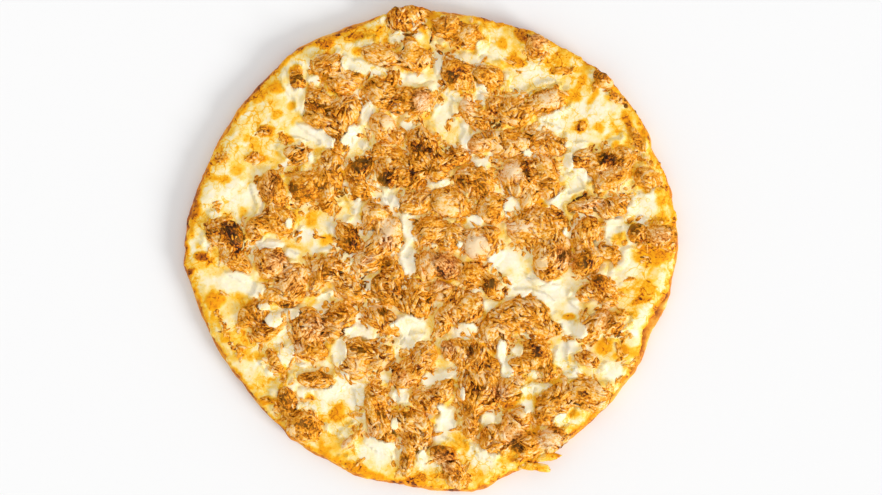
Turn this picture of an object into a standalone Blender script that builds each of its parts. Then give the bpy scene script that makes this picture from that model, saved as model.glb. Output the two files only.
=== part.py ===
"""A thin round tuna pizza: a baked dough base, a sheet of melted cheese and heaps of flaked tuna.

Everything is in metres, +Z up. The pizza lies flat, the middle of its footprint at the origin.
The crust is a low disc. The cheese covers it to the rim, flat where tuna rests and bulging where
it is open. The tuna lies on the cheese in heaps, each a union of domed, ridged, ragged flakes.
"""

import math

import bpy
import numpy as np
from mathutils import Matrix

MM = 0.001

# Driving sizes
PIZZA_RADIUS = 146.7 * MM
CRUST_HEIGHT = 8.5 * MM
CHEESE_THICKNESS = 3.4 * MM
SEAT_GAP = 0.3 * MM
CHEESE_BULGE = 1.7 * MM

# The outline is a circle, a little wide, with these lobes: angle and half-width in degrees, rise
OUTLINE_SWELL = 1.6 * MM
OUTLINE_LOBES = (
    (8, 14, 2.6 * MM),
    (24, 3, -1.5 * MM),
    (31, 4, 1.4 * MM),
    (42, 15, 3.2 * MM),
    (97, 7, 4.6 * MM),
    (123, 9, 2.7 * MM),
    (178, 13, 4.4 * MM),
    (184, 3, 2.2 * MM),
    (217, 16, -3.4 * MM),
    (253, 6, 1.6 * MM),
    (276, 9, 4.8 * MM),
    (282, 4, 2.8 * MM),
    (296, 5, 1.2 * MM),
    (322, 24, -3.2 * MM),
    (339, 4, -2.2 * MM),
)
RIM_ROUGHNESS = 0.5 * MM

# The crust's side from top to bottom: how far it lies inside the rim, and its share of the height
CRUST_PROFILE = (
    (1.6 * MM, 1.0),
    (0.4 * MM, 0.86),
    (0.0, 0.55),
    (1.6 * MM, 0.2),
    (5.0 * MM, 0.0),
)
BLISTER_HEIGHT = 0.5 * MM

# How far the cheese stops short of the crust's edge, which swells where the crust shows as a strip
CHEESE_INSET = 0.9 * MM
CHEESE_OVERHANG = 1.2 * MM
OVERHANG_ANGLE = 55
OVERHANG_SPREAD = 40
BARE_RIM_INSET = 4.0 * MM
BARE_RIM_ANGLE = 341
BARE_RIM_SPREAD = 8

# The cheese's rounded edge: its last ring of points lies in and down, and its foot is tucked under
EDGE_INSET = 1.8 * MM
EDGE_DROP = 0.9 * MM
EDGE_WIDEST_SHARE = 0.45
FOOT_INSET = 0.6 * MM

# Mesh steps
RIM_SEGMENTS = 102
CHEESE_RINGS = RIM_SEGMENTS // 6
LARGE_FLAKE = 18.5 * MM
LARGE_FLAKE_SIDES = 9
SMALL_FLAKE_SIDES = 7
CRUMB_SIDES = 6

# Tuna
FLAKE_CLEARANCE = 0.8 * MM
FLAKE_OVERLAP = 3.8 * MM
FLAKE_BASE_HEIGHT = 2.3 * MM
FLAKE_HEIGHT_PER_WIDTH = 0.27
WIDEST_RISE = 14 * MM
FLAKE_RAGGEDNESS = 0.13
RIDGE_HEIGHT = 0.55 * MM
SHOULDER_HEIGHT_SHARE = 0.93
CRUMB_SINK = 0.9 * MM
CRUMB_HEIGHT = 2.1 * MM
SPRINKLED_CRUMBS = 11
CRUMB_CLEARANCE = 2.5 * MM

# A flake's rings from the top down: share of its reach, share of its height, height of its ridges
FLAKE_RINGS = (
    (0.58, SHOULDER_HEIGHT_SHARE, RIDGE_HEIGHT),
    (1.0, 0.45 * SHOULDER_HEIGHT_SHARE, 0.0),
    (0.9, 0.0, 0.0),
)

# The cheese starts to bulge this far from the nearest tuna, and bulges in full at the second
OPEN_FROM = 6.5 * MM
OPEN_TO = 13.0 * MM

# Heaps of tuna. Each row is one flake: its middle x and y, length and width in mm, turn in degrees
HEAPS = (
    # Far side, left to right
    ((-63, 112, 17, 9, -15), (-54, 102, 24, 11, 22)),
    ((-83, 103, 15, 10, -60),),
    ((-70, 90, 18, 13, -10), (-54, 85, 16, 13, 40), (-64, 77, 30, 7, -18), (-58, 66, 15, 6, -45)),
    ((-84, 58, 21, 11, -12),),
    ((-32, 118, 24, 10, -18), (-12, 116, 20, 14, 5), (-13, 125, 18, 8, -60)),
    ((-21, 141, 16, 9, -60), (-11, 145, 12, 5, 0)),
    ((9, 136, 13, 8, 20), (21, 130, 14, 12, -60)),
    ((15, 108, 18, 15, -60), (33, 106, 16, 10, -10)),
    ((63, 124, 17, 14, -50),),
    ((104, 104, 15, 12, -45),),
    ((69, 91, 24, 12, 15), (50, 84, 20, 17, -30), (37, 88, 14, 10, 40)),
    ((21, 85, 15, 10, -55), (30, 77, 20, 10, -30)),
    ((-8, 91, 18, 12, 50), (-19, 91, 16, 7, 50), (-32, 95, 22, 14, -60), (-25, 105, 15, 9, 60)),
    ((-31, 76, 20, 14, -50), (-23, 68, 16, 8, 40)),
    # Upper middle
    ((-7, 64, 18, 12, -70), (2, 50, 24, 12, -80), (14, 55, 18, 13, 30), (-13, 46, 19, 12, 80),
     (-26, 50, 22, 14, 60), (-31, 61, 16, 8, 20)),
    ((31, 66, 18, 10, 20), (46, 64, 17, 8, -20), (68, 65, 26, 7, -18)),
    ((53, 45, 20, 17, 60), (69, 45, 31, 8, -75), (58, 29, 22, 8, 60)),
    ((25, 42, 21, 13, -20), (36, 23, 16, 11, -70)),
    ((108, 53, 27, 7, 18), (110, 44, 27, 9, 22), (90, 55, 13, 6, 25)),
    ((125, 67, 23, 7, -58),),
    ((130, 44, 21, 13, -20),),
    ((90, 26, 38, 10, 15), (110, 25, 21, 11, 15)),
    ((-52, 7, 22, 14, -60),),
    ((-45, 37, 20, 11, -65), (-46, 49, 27, 11, 20)),
    ((-62, 48, 24, 12, -75), (-78, 38, 24, 15, 15), (-65, 31, 20, 9, 80)),
    ((-97, 36, 26, 16, -75), (-95, 18, 18, 13, -20), (-109, 12, 15, 10, 60)),
    # Middle
    ((92, 8, 26, 12, 60), (93, -8, 15, 10, 30), (107, -3, 16, 8, -20)),
    ((139, 8, 21, 12, 0), (125, 10, 10, 10, -30)),
    ((63, 16, 38, 9, 8), (74, -4, 20, 12, 60), (61, 5, 15, 9, 10)),
    ((104, -25, 26, 14, -55), (93, -27, 14, 9, 30)),
    ((10, 28, 22, 17, -30), (-11, 29, 16, 9, 30)),
    ((-1, 13, 20, 12, 40), (11, 8, 18, 8, 70), (28, 2, 18, 16, -20), (37, 12, 17, 7, -20)),
    ((-4, -11, 17, 14, -80), (9, -10, 17, 13, -60), (24, -14, 17, 14, 20), (37, -24, 20, 11, -60)),
    ((-40, -8, 22, 13, 20), (-31, 4, 22, 9, 25), (-36, 19, 18, 13, -60), (-25, 14, 14, 12, 0)),
    ((-127, 9, 24, 16, -30), (-117, -8, 34, 8, -35)),
    ((-101, -9, 16, 12, 20), (-86, -22, 24, 14, 75), (-98, -28, 16, 10, -30)),
    ((-74, -22, 18, 10, 60), (-65, -13, 18, 12, 20), (-52, -24, 20, 11, -50)),
    # Lower middle
    ((8, -26, 22, 9, -15), (20, -36, 18, 12, 10), (22, -46, 14, 4, -25), (6, -44, 20, 10, 80)),
    ((-12, -33, 20, 10, -10), (-28, -24, 17, 14, -40), (-24, -12, 17, 9, -50), (-9, -24, 17, 7, -45)),
    ((-110, -40, 18, 12, 25), (-101, -48, 23, 10, 35)),
    ((-76, -47, 22, 14, -80), (-58, -43, 20, 12, 60), (-75, -62, 25, 14, -5)),
    ((-31, -43, 29, 14, -25),),
    ((52, -40, 30, 9, 8), (66, -48, 28, 10, -5), (36, -53, 18, 6, -60)),
    ((63, -64, 24, 18, -60), (52, -71, 14, 9, 0), (70, -76, 14, 8, 70)),
    ((97, -46, 30, 10, 42), (110, -45, 16, 11, 30)),
    ((94, -67, 20, 10, -25),),
    ((-44, -62, 18, 8, -15), (-31, -66, 18, 12, 50), (-49, -73, 12, 8, -30)),
    ((-16, -76, 18, 12, 40), (-6, -64, 14, 9, -40)),
    ((10, -62, 16, 9, -70), (17, -65, 20, 6, -75), (26, -67, 18, 11, -70), (36, -74, 16, 7, 85),
     (26, -86, 20, 14, -30), (47, -85, 15, 10, 25), (24, -107, 20, 9, -80)),
    # Near side, left to right
    ((-97, -68, 22, 8, -57),),
    ((-71, -80, 28, 10, -5),),
    ((-89, -94, 21, 8, -78), (-79, -108, 18, 14, -25)),
    ((-50, -116, 22, 6, 45),),
    ((-36, -91, 20, 14, -60), (-32, -107, 22, 12, -70), (-12, -107, 20, 13, -25), (-10, -118, 18, 13, 10),
     (-16, -129, 23, 7, 85)),
    ((-5, -94, 20, 9, -20), (8, -85, 20, 9, 45)),
    ((6, -126, 20, 13, -25), (13, -137, 20, 14, -60)),
    ((38, -116, 20, 14, -15), (52, -105, 18, 9, 20), (56, -119, 20, 14, -10), (74, -117, 20, 15, 10)),
    ((73, -95, 24, 10, 50), (94, -89, 24, 12, -15)),
)

# Small flakes melted into the cheese, as rows of the same kind
CRUMBS = (
    (113, 92, 14, 6, -25),
    (117, -53, 13, 6, 25),
    (114, -65, 12, 5, -60),
    (126, -69, 17, 7, 55),
    (116, -80, 11, 8, 10),
    (-104, 72, 9, 7, 25),
    (-92, 68, 10, 5, -60),
    (-130, 56, 8, 6, 0),
    (-110, 56, 11, 6, 0),
    (79, 109, 14, 5, 5),
    (3, 93, 12, 3.5, -60),
    (50, -53, 8, 5, -40),
    (-85, 8, 10, 6, -20),
    (-76, -6, 9, 7, 30),
    (10, 76, 9, 4, 70),
    (-12, -86, 8, 3.5, 80),
)

# Crisp drops of cheese that ran over the rim, as rows of the same kind
DRIPS = (
    (70, -128, 16, 6, 5),
    (61, -134, 20, 6, -8),
)
DRIP_TOP = 3.0 * MM
DRIP_SINK = 2.4 * MM


def rim_radius(angle):
    """The pizza's outer radius at an angle: a wide circle, lobes and a fine roughness."""
    radius = PIZZA_RADIUS + OUTLINE_SWELL * math.cos(2 * angle)
    for middle, spread, rise in OUTLINE_LOBES:
        away = math.degrees(math.remainder(angle - math.radians(middle), 2 * math.pi))
        radius += rise * math.exp(-((away / spread) ** 2))
    roughness = math.sin(23 * angle + 1.0) + 0.7 * math.sin(37 * angle + 2.6) + 0.5 * math.sin(53 * angle)
    return radius + RIM_ROUGHNESS * roughness / 2.2


def hump(angle, middle, spread):
    """A smooth hump of height 1 round an angle given in degrees."""
    away = math.degrees(math.remainder(angle - math.radians(middle), 2 * math.pi))
    return math.exp(-((away / spread) ** 2))


def cheese_radius(angle):
    """The cheese's edge: short of the rim, over it on the far right, and well inside the bare strip."""
    inset = CHEESE_INSET + BARE_RIM_INSET * hump(angle, BARE_RIM_ANGLE, BARE_RIM_SPREAD)
    return rim_radius(angle) - inset + CHEESE_OVERHANG * hump(angle, OVERHANG_ANGLE, OVERHANG_SPREAD)


class Flake:
    """One flake of tuna, seen from above as a ragged ellipse.

    A point is at depth 0 in its middle and 1 on its edge. Two flakes of different heaps meet where
    their depths are equal, and each stops short of that line.
    """

    def __init__(self, row):
        x, y, length, width, turn = row
        self.middle = np.array((x, y)) * MM
        self.half = np.array((length, width)) * MM / 2
        turn = math.radians(turn)
        self.along = np.array((math.cos(turn), math.sin(turn)))
        self.across = np.array((-math.sin(turn), math.cos(turn)))

    def edge_distance(self, point):
        """Signed distance from the ellipse's edge, near enough for spacing: below 0 inside."""
        away = point - self.middle
        depth = math.hypot(away @ self.along / self.half[0], away @ self.across / self.half[1])
        scale = 1 if depth < 1 else max(1, np.linalg.norm(away) / self.half[0])
        return (depth - 1) * min(self.half) * scale

    def radius_towards(self, point):
        """The ellipse's radius in the direction of a point."""
        away = point - self.middle
        depth = math.hypot(away @ self.along / self.half[0], away @ self.across / self.half[1])
        return np.linalg.norm(away) / depth

    def point(self, angle, depth):
        """The point at this depth, in the ellipse's own direction."""
        along = self.half[0] * math.cos(angle) * depth
        across = self.half[1] * math.sin(angle) * depth
        return self.middle + along * self.along + across * self.across

    def may_meet(self, other):
        """Whether the other flake is near enough to limit this one's reach."""
        apart = np.linalg.norm(other.middle - self.middle)
        return apart < 1.3 * (other.half[0] + self.half[0])

    def reach(self, angle, others, rng):
        """How deep the flake reaches in a direction before it comes too near another heap's flake."""
        ragged = 1 + FLAKE_RAGGEDNESS * rng.uniform(-1, 1)
        for depth in np.arange(0.3, ragged, 0.05):
            spot = self.point(angle, depth)
            own = self.edge_distance(spot)
            if any(own > other.edge_distance(spot) - FLAKE_CLEARANCE for other in others):
                return depth - 0.05
        return ragged


def joined_flakes(rows):
    """One heap's flakes. Each one and the nearest before it swell until they overlap."""
    flakes = []
    for row in rows:
        flake = Flake(row)
        gaps = []
        for mate in flakes:
            apart = np.linalg.norm(flake.middle - mate.middle)
            gaps.append(apart - flake.radius_towards(mate.middle) - mate.radius_towards(flake.middle))
        if gaps and min(gaps) > -FLAKE_OVERLAP:
            swell = (min(gaps) + FLAKE_OVERLAP) / 2
            flake.half = flake.half + swell
            mate = flakes[int(np.argmin(gaps))]
            mate.half = mate.half + swell
        flakes.append(flake)
    return flakes


HEAP_FLAKES = [joined_flakes(heap) for heap in HEAPS]
CRUMB_FLAKES = [Flake(row) for row in CRUMBS]


def flake_mesh(flake, others, floor, height, sides, rng):
    """A closed dome on a flat foot: middle point, ridged inner ring, edge ring, foot ring.

    The inner ring's points go up and down in turn, as bundles of fibre do.
    """
    step = 2 * math.pi / sides
    sub = (-step / 3, 0.0, step / 3)
    reach = [min(flake.reach(i * step + s, others, rng) for s in sub) for i in range(sides)]
    points = []
    for share, rise, ridge in FLAKE_RINGS:
        for i in range(sides):
            x, y = flake.point(i * step, reach[i] * share)
            lift = ridge * (1 if i % 2 else -1) + (rise > 0) * RIDGE_HEIGHT * rng.uniform(-0.6, 0.6)
            points.append((x, y, floor + height * rise + lift))
    top, foot = len(points), len(points) + 1
    points.append((*flake.point(0, 0), floor + height))
    points.append((*flake.point(0, 0), floor))
    faces = []
    for i in range(sides):
        j = (i + 1) % sides
        faces.append((top, i, j))
        for ring in range(len(FLAKE_RINGS) - 1):
            a, b = ring * sides, (ring + 1) * sides
            faces.append((a + i, b + i, b + j, a + j))
        last = (len(FLAKE_RINGS) - 1) * sides
        faces.append((foot, last + j, last + i))
    mesh = bpy.data.meshes.new("flake")
    mesh.from_pydata(points, [], faces)
    return mesh


def new_object(name, mesh, material):
    """Links a mesh to the scene as a named object with one material."""
    mesh.name = name
    mesh.materials.clear()
    mesh.materials.append(material)
    obj = bpy.data.objects.new(name, mesh)
    bpy.context.scene.collection.objects.link(obj)
    return obj


def union(obj, meshes):
    """Joins the meshes to the object by one Boolean on a collection, and applies it."""
    if not meshes:
        return
    pieces = bpy.data.collections.new("joined")
    bpy.context.scene.collection.children.link(pieces)
    for mesh in meshes:
        pieces.objects.link(bpy.data.objects.new("piece", mesh))
    join = obj.modifiers.new("join", "BOOLEAN")
    join.operation = "UNION"
    join.operand_type = "COLLECTION"
    join.collection = pieces
    graph = bpy.context.evaluated_depsgraph_get()
    joined = bpy.data.meshes.new_from_object(obj.evaluated_get(graph))
    obj.modifiers.clear()
    obj.data = joined
    for piece in list(pieces.objects):
        bpy.data.objects.remove(piece)
    bpy.data.collections.remove(pieces)


def material(name, colour, roughness):
    """A plain Principled material."""
    made = bpy.data.materials.new(name)
    made.use_nodes = True
    shader = made.node_tree.nodes["Principled BSDF"]
    shader.inputs["Base Color"].default_value = (*colour, 1.0)
    shader.inputs["Roughness"].default_value = roughness
    shader.inputs["Metallic"].default_value = 0.0
    return made


def ring_faces(first, second, count):
    """Quads between two rings of equal count, the first ring being the upper one."""
    return [
        (first + i, second + i, second + (i + 1) % count, first + (i + 1) % count)
        for i in range(count)
    ]


def crust_object(finish):
    """The baked base: flat below and above, its side bulging between, with low blisters."""
    points = []
    for inset, share in CRUST_PROFILE:
        for i in range(RIM_SEGMENTS):
            angle = 2 * math.pi * i / RIM_SEGMENTS
            radius = rim_radius(angle) - inset
            if 0 < share < 1:
                radius += BLISTER_HEIGHT * math.sin(19 * angle + 3.4 * share) * math.sin(7 * angle + 1)
            points.append((radius * math.cos(angle), radius * math.sin(angle), CRUST_HEIGHT * share))
    faces = []
    for ring in range(len(CRUST_PROFILE) - 1):
        faces += ring_faces(ring * RIM_SEGMENTS, (ring + 1) * RIM_SEGMENTS, RIM_SEGMENTS)
    last = (len(CRUST_PROFILE) - 1) * RIM_SEGMENTS
    faces.append(tuple(range(RIM_SEGMENTS)))
    faces.append(tuple(reversed(range(last, last + RIM_SEGMENTS))))
    mesh = bpy.data.meshes.new("crust")
    mesh.from_pydata(points, [], faces)
    return new_object("crust", mesh, finish)


def cheese_relief(point, flakes):
    """How far the cheese bulges above the level on which tuna rests: only where it is open."""
    near = min(flake.edge_distance(point) for flake in flakes)
    share = min(1.0, max(0.0, (near - OPEN_FROM) / (OPEN_TO - OPEN_FROM)))
    x, y = point / MM
    waves = 0.5 + 0.25 * math.sin(x / 5.3 + 1.5 * math.sin(y / 9)) + 0.25 * math.sin(y / 4.7 + x / 11)
    return CHEESE_BULGE * share * share * (3 - 2 * share) * waves


def cheese_object(finish):
    """The melted cheese: rings of 6, 12, 18 points and so on, a rounded edge and a flat underside."""
    flakes = [flake for heap in HEAP_FLAKES for flake in heap]
    under = CRUST_HEIGHT + SEAT_GAP
    level = under + CHEESE_THICKNESS
    points = [(0.0, 0.0, level)]
    starts = [0]
    for ring in range(1, CHEESE_RINGS + 1):
        starts.append(len(points))
        share = ring / CHEESE_RINGS
        for i in range(6 * ring):
            angle = 2 * math.pi * i / (6 * ring)
            radius = cheese_radius(angle) * share
            lift = 0.0
            if ring == CHEESE_RINGS:
                radius -= EDGE_INSET
                lift = -EDGE_DROP
            spot = np.array((radius * math.cos(angle), radius * math.sin(angle)))
            if ring < CHEESE_RINGS:
                lift = cheese_relief(spot, flakes)
            points.append((*spot, level + lift))
    faces = []
    for ring in range(1, CHEESE_RINGS + 1):
        inner, outer = starts[ring - 1], starts[ring]
        inner_count, outer_count = max(1, 6 * (ring - 1)), 6 * ring
        for side in range(6):
            for k in range(ring):
                a = outer + (side * ring + k) % outer_count
                b = outer + (side * ring + k + 1) % outer_count
                c = inner + (side * (ring - 1) + k) % inner_count
                faces.append((a, b, c))
                if k < ring - 1:
                    d = inner + (side * (ring - 1) + k + 1) % inner_count
                    faces.append((b, d, c))
    rings = [starts[-1]]
    for inset, height in ((0.0, under + EDGE_WIDEST_SHARE * CHEESE_THICKNESS), (FOOT_INSET, under)):
        rings.append(len(points))
        for i in range(RIM_SEGMENTS):
            angle = 2 * math.pi * i / RIM_SEGMENTS
            radius = cheese_radius(angle) - inset
            points.append((radius * math.cos(angle), radius * math.sin(angle), height))
    for upper, lower in zip(rings, rings[1:]):
        faces += ring_faces(upper, lower, RIM_SEGMENTS)
    faces.append(tuple(reversed(range(rings[-1], rings[-1] + RIM_SEGMENTS))))
    mesh = bpy.data.meshes.new("cheese")
    mesh.from_pydata(points, [], faces)
    return new_object("cheese", mesh, finish)


def sprinkled_crumbs(rng):
    """Seeded places for loose small flakes, clear of the heaps, the named crumbs and the rim."""
    taken = [flake for heap in HEAP_FLAKES for flake in heap] + CRUMB_FLAKES
    made = []
    while len(made) < SPRINKLED_CRUMBS:
        radius = 138 * math.sqrt(rng.uniform(0, 1))
        angle = rng.uniform(0, 2 * math.pi)
        row = (radius * math.cos(angle), radius * math.sin(angle), rng.uniform(5, 9), rng.uniform(3, 4.5))
        crumb = Flake((*row, rng.uniform(0, 180)))
        clear = CRUMB_CLEARANCE + crumb.half[0]
        if all(other.edge_distance(crumb.middle) > clear for other in taken):
            made.append(crumb)
            taken.append(crumb)
    return made


def add_crumbs(cheese, rng):
    """Fuses the small flakes and the crisp drops to the cheese."""
    level = CRUST_HEIGHT + SEAT_GAP + CHEESE_THICKNESS
    heaps = [flake for heap in HEAP_FLAKES for flake in heap]
    meshes = []
    for crumb in CRUMB_FLAKES + sprinkled_crumbs(rng):
        height = CRUMB_SINK + CRUMB_HEIGHT * rng.uniform(0.8, 1.15)
        if cheese_relief(crumb.middle, heaps) > CRUMB_SINK / 2:
            height += CHEESE_BULGE / 2
        meshes.append(flake_mesh(crumb, heaps, level - CRUMB_SINK, height, CRUMB_SIDES, rng))
    for row in DRIPS:
        meshes.append(flake_mesh(Flake(row), [], level - DRIP_SINK, DRIP_TOP, SMALL_FLAKE_SIDES, rng))
    union(cheese, meshes)


def heap_object(number, finish, rng):
    """One heap of tuna: its flakes, each resting on the cheese, joined into one solid."""
    floor = CRUST_HEIGHT + CHEESE_THICKNESS + 2 * SEAT_GAP
    others = [flake for i, heap in enumerate(HEAP_FLAKES) if i != number for flake in heap]
    meshes = []
    for flake in HEAP_FLAKES[number]:
        near = [other for other in others if flake.may_meet(other)]
        sides = LARGE_FLAKE_SIDES if 2 * flake.half[0] > LARGE_FLAKE else SMALL_FLAKE_SIDES
        height = FLAKE_BASE_HEIGHT + FLAKE_HEIGHT_PER_WIDTH * min(WIDEST_RISE, 2 * flake.half[1])
        meshes.append(flake_mesh(flake, near, floor, height * rng.uniform(0.85, 1.15), sides, rng))
    heap = new_object(f"tuna_{number + 1:02d}", meshes[0], finish)
    union(heap, meshes[1:])
    return heap


def centre_on_origin(objects):
    """Moves every mesh so that the pizza's footprint is centred on the origin."""
    corners = np.array([v.co[:2] for obj in objects for v in obj.data.vertices])
    middle = (corners.min(axis=0) + corners.max(axis=0)) / 2
    for obj in objects:
        obj.data.transform(Matrix.Translation((-middle[0], -middle[1], 0.0)))


def main():
    for obj in list(bpy.data.objects):
        bpy.data.objects.remove(obj)
    rng = np.random.default_rng(7)
    crust_finish = material("crust", (0.60, 0.32, 0.10), 0.7)
    cheese_finish = material("cheese", (0.95, 0.80, 0.45), 0.4)
    tuna_finish = material("tuna", (0.62, 0.34, 0.15), 0.6)
    cheese = cheese_object(cheese_finish)
    add_crumbs(cheese, rng)
    objects = [crust_object(crust_finish), cheese]
    objects += [heap_object(number, tuna_finish, rng) for number in range(len(HEAPS))]
    centre_on_origin(objects)


main()
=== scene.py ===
"""The looks of a thin round tuna pizza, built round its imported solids.

The crust is a baked disc and the cheese one melted sheet that browns in patches. Each heap of tuna is
a core of the solid's own form with chunks, strips and bits of flaked fish laid over it. Everything is
in metres, +Z up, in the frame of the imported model.
"""

import logging
import math
from dataclasses import dataclass, field

import bpy
import numpy as np
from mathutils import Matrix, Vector
from mathutils.bvhtree import BVHTree


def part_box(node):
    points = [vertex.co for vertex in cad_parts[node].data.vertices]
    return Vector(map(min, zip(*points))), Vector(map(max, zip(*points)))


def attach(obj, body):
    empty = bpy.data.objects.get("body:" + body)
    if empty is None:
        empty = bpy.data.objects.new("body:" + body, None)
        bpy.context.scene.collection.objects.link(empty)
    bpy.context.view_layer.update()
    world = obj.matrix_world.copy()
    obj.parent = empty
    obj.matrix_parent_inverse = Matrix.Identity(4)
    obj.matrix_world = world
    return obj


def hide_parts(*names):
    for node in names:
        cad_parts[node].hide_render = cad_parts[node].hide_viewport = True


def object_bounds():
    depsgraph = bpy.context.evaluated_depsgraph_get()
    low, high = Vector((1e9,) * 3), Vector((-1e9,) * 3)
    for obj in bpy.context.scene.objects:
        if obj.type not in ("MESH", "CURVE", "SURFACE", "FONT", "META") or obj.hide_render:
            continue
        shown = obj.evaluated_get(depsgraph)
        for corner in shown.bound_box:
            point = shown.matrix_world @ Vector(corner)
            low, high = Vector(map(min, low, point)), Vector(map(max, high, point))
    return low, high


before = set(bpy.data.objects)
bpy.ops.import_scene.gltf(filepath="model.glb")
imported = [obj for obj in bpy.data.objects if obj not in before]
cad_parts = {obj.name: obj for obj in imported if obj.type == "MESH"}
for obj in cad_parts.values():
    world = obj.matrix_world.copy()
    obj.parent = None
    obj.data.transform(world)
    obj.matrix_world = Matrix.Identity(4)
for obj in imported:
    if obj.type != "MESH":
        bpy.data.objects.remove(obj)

LOG = logging.getLogger("pizza")
MM = 0.001
CAD_BOX = [list(corner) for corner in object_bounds()]
Array = np.ndarray


# Numbers over the plane


def hashed(across: Array, up: Array, seed: int) -> Array:
    """Gives each whole lattice point a fixed pseudo-random number.

    Args:
        across: Whole numbers, the points' first coordinates.
        up: Whole numbers, the points' second coordinates.
        seed: Picks another set of numbers.

    Returns:
        Numbers from 0 to 1, worked out by multiplying, shifting and masking the coordinates.
    """
    mask = 0xFFFFFFFF
    mixed = across.astype(np.int64) * 374761393 + up.astype(np.int64) * 668265263
    mixed = (mixed + seed * 974634777) & mask
    mixed = ((mixed ^ (mixed >> 13)) * 1274126177) & mask
    return ((mixed ^ (mixed >> 16)) & 0xFFFF) / 65535.0


def smooth_step(values: Array, low: float, high: float) -> Array:
    """Rises smoothly from 0 at low to 1 at high, as 3 s^2 - 2 s^3 of the share s between them."""
    share = np.clip((values - low) / (high - low), 0.0, 1.0)
    return share * share * (3 - 2 * share)


def ripple(across: Array, up: Array, seed: int) -> Array:
    """Smooth noise of step 1: hashed numbers at the whole points, blended by quintic shares.

    Args:
        across: First coordinates.
        up: Second coordinates.
        seed: Picks another pattern.

    Returns:
        Values from -1 to 1.
    """
    left, low = np.floor(across), np.floor(up)
    u, v = across - left, up - low
    u = u * u * u * (u * (u * 6 - 15) + 10)
    v = v * v * v * (v * (v * 6 - 15) + 10)
    near = hashed(left, low, seed) * (1 - u) + hashed(left + 1, low, seed) * u
    far = hashed(left, low + 1, seed) * (1 - u) + hashed(left + 1, low + 1, seed) * u
    return 2 * (near * (1 - v) + far * v) - 1


def mottle(x: Array, y: Array, size: float, seed: int, octaves: int = 3) -> Array:
    """Fractal noise: a sum of ripples, each half as large and half as strong as the one before.

    Args:
        x: Places in metres.
        y: Places in metres.
        size: The step of the largest ripple, in metres.
        seed: Picks another pattern.
        octaves: How many ripples are summed.

    Returns:
        Values from about -1 to 1.
    """
    total = np.zeros_like(x)
    strength = 1.0
    reach = 0.0
    for octave in range(octaves):
        step = size / 2**octave
        turned_x = x * math.cos(octave) - y * math.sin(octave)
        turned_y = x * math.sin(octave) + y * math.cos(octave)
        total += strength * ripple(turned_x / step, turned_y / step, seed + 17 * octave)
        reach += strength
        strength *= 0.5
    return total / reach * 1.5


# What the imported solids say


@dataclass
class Chart:
    """Values on a square grid of cells over the pizza, read between cells by straight-line shares."""

    values: Array
    cell: float
    half: float

    def at(self, x: Array, y: Array) -> Array:
        """The values at these places, blended from the four cells round each."""
        last = self.values.shape[0] - 1
        column = np.clip((x + self.half) / self.cell, 0, last - 1e-6)
        row = np.clip((y + self.half) / self.cell, 0, last - 1e-6)
        i, j = np.floor(column).astype(int), np.floor(row).astype(int)
        u, v = column - i, row - j
        grid = self.values
        near = grid[j, i] * (1 - u) + grid[j, i + 1] * u
        far = grid[j + 1, i] * (1 - u) + grid[j + 1, i + 1] * u
        return near * (1 - v) + far * v

    def with_values(self, values: Array) -> "Chart":
        """A chart of other values on the same grid."""
        return Chart(values, self.cell, self.half)

    def blurred(self, spread: float) -> "Chart":
        """Softens the values by a bell of this spread, along rows and then along columns."""
        reach = int(3 * spread / self.cell) + 1
        steps = np.arange(-reach, reach + 1) * self.cell
        bell = np.exp(-((steps / spread) ** 2) / 2)
        bell /= bell.sum()
        values = np.pad(self.values, reach, mode="edge")
        values = np.apply_along_axis(np.convolve, 1, values, bell, "valid")
        values = np.apply_along_axis(np.convolve, 0, values, bell, "valid")
        return self.with_values(values)

    def pick(self, steps: int, lowest: bool) -> "Chart":
        """Each cell takes the lowest or highest value within some steps of it, along rows and columns."""
        choose = np.minimum if lowest else np.maximum
        values = self.values
        for _ in range(steps):
            padded = np.pad(values, 1, mode="edge")
            across = choose(choose(padded[1:-1, :-2], padded[1:-1, 2:]), values)
            values = choose(choose(padded[:-2, 1:-1], padded[2:, 1:-1]), across)
        return self.with_values(values)


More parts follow.
